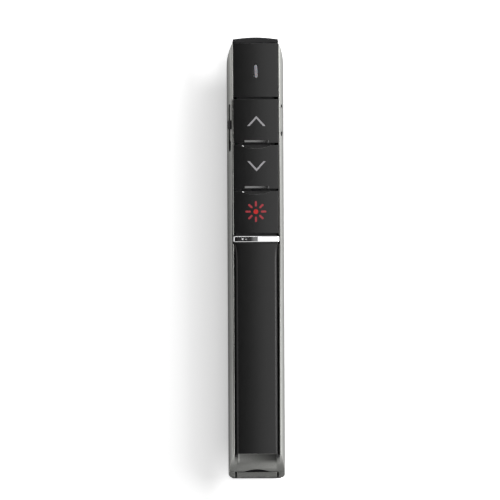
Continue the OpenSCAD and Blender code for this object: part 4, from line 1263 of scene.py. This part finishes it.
# Each step of the ceiling: where it starts and ends across the room, and the change of level.
CEILING_STEPS = ((-0.27, -0.17, 0.03), (-0.055, 0.005, 0.17), (0.02, 0.06, -0.17))


def ceiling(tree, across):
    """Level of the dark ceiling in reflections. From the left it lightens to a pale strip at the middle."""
    level = CEILING_DARK
    for start, end, change in CEILING_STEPS:
        level = tree.math("ADD", level, tree.level(across, 0.0, change, start, end, smooth=True))
    return level


def world():
    """An even grey room as a light. Seen or mirrored, it is white around the object and dark overhead."""
    studio = bpy.data.worlds.new("studio")
    bpy.context.scene.world = studio
    tree = Tree(studio)
    direction = tree.nodes.new("ShaderNodeTexCoord").outputs["Generated"]
    overhead = tree.level(tree.part(direction, "Z"), 0.0, 1.0, *CEILING_RISE)
    room = tree.blend(1.0, ceiling(tree, tree.part(direction, "X")), overhead)
    seen = seen_by(tree, "Is Camera Ray", "Is Glossy Ray", "Is Transmission Ray")
    background = tree.nodes["Background"]
    background.inputs["Color"].default_value = (1, 1, 1, 1)
    tree.link(tree.blend(ROOM_LIGHT, room, seen), background.inputs["Strength"])


def aimed(location, target, up=Vector((0, 1, 0))):
    """Matrix that looks from one point to another."""
    back = (Vector(location) - Vector(target)).normalized()
    right = up.cross(back).normalized()
    matrix = Matrix((right, back.cross(right), back)).transposed().to_4x4()
    matrix.translation = location
    return matrix


LAMP_TARGET = (0, 0, 0.01)
# Name, place, size and power of each lamp.
LAMPS = (
    ("key_softbox", (0.830, 0.553, 0.46), (0.74, 1.50), 19.4),
    ("canopy", (0.402, 0.0, 1.06), (0.76, 1.4), 3.7),
    ("nose_softbox", (-0.12, 0.80, 0.90), (0.44, 0.26), 1.95),
    ("ceiling_lamp_a", (-0.178, 0.0092, 1.2), (0.02, 0.006), 0.0006),
    ("ceiling_lamp_b", (-0.125, 0.0087, 1.2), (0.02, 0.006), 0.0003),
)


def lamp(name, location, size, power):
    """A white area lamp that looks at the object."""
    light = bpy.data.lights.new(name, "AREA")
    light.shape = "RECTANGLE"
    light.size, light.size_y = size
    light.energy = power
    piece = add_object(name, light)
    piece.matrix_world = aimed(location, LAMP_TARGET)
    piece.visible_camera = False


def camera():
    """Looks down on the face from slightly left of it, framed as the photograph is."""
    data = bpy.data.cameras.new("camera")
    piece = add_object("camera", data)
    bpy.context.scene.camera = piece
    field = PHOTO_SIDE_PX/FACE_PX_PER_MM*MM
    data.sensor_width = 36.0
    data.lens = data.sensor_width*CAMERA_DISTANCE/field
    data.clip_start, data.clip_end = 0.01, 20.0
    half_px = PHOTO_SIDE_PX/2
    aim = Vector(((half_px - OBJECT_CENTRE_PX[0])/FACE_PX_PER_MM*MM,
                  (OBJECT_CENTRE_PX[1] - half_px)/FACE_PX_PER_MM*MM, FACE_TOP))
    away = Vector((-math.sin(SEEN_FROM_LEFT), 0, math.cos(SEEN_FROM_LEFT)))
    up = Vector((math.sin(ROLL), math.cos(ROLL), 0))
    piece.matrix_world = aimed(aim + away*CAMERA_DISTANCE, aim, up)


floor()
world()
for name, location, size, power in LAMPS:
    lamp(name, location, size, power)
camera()
bpy.context.scene.view_settings.view_transform = "Standard"
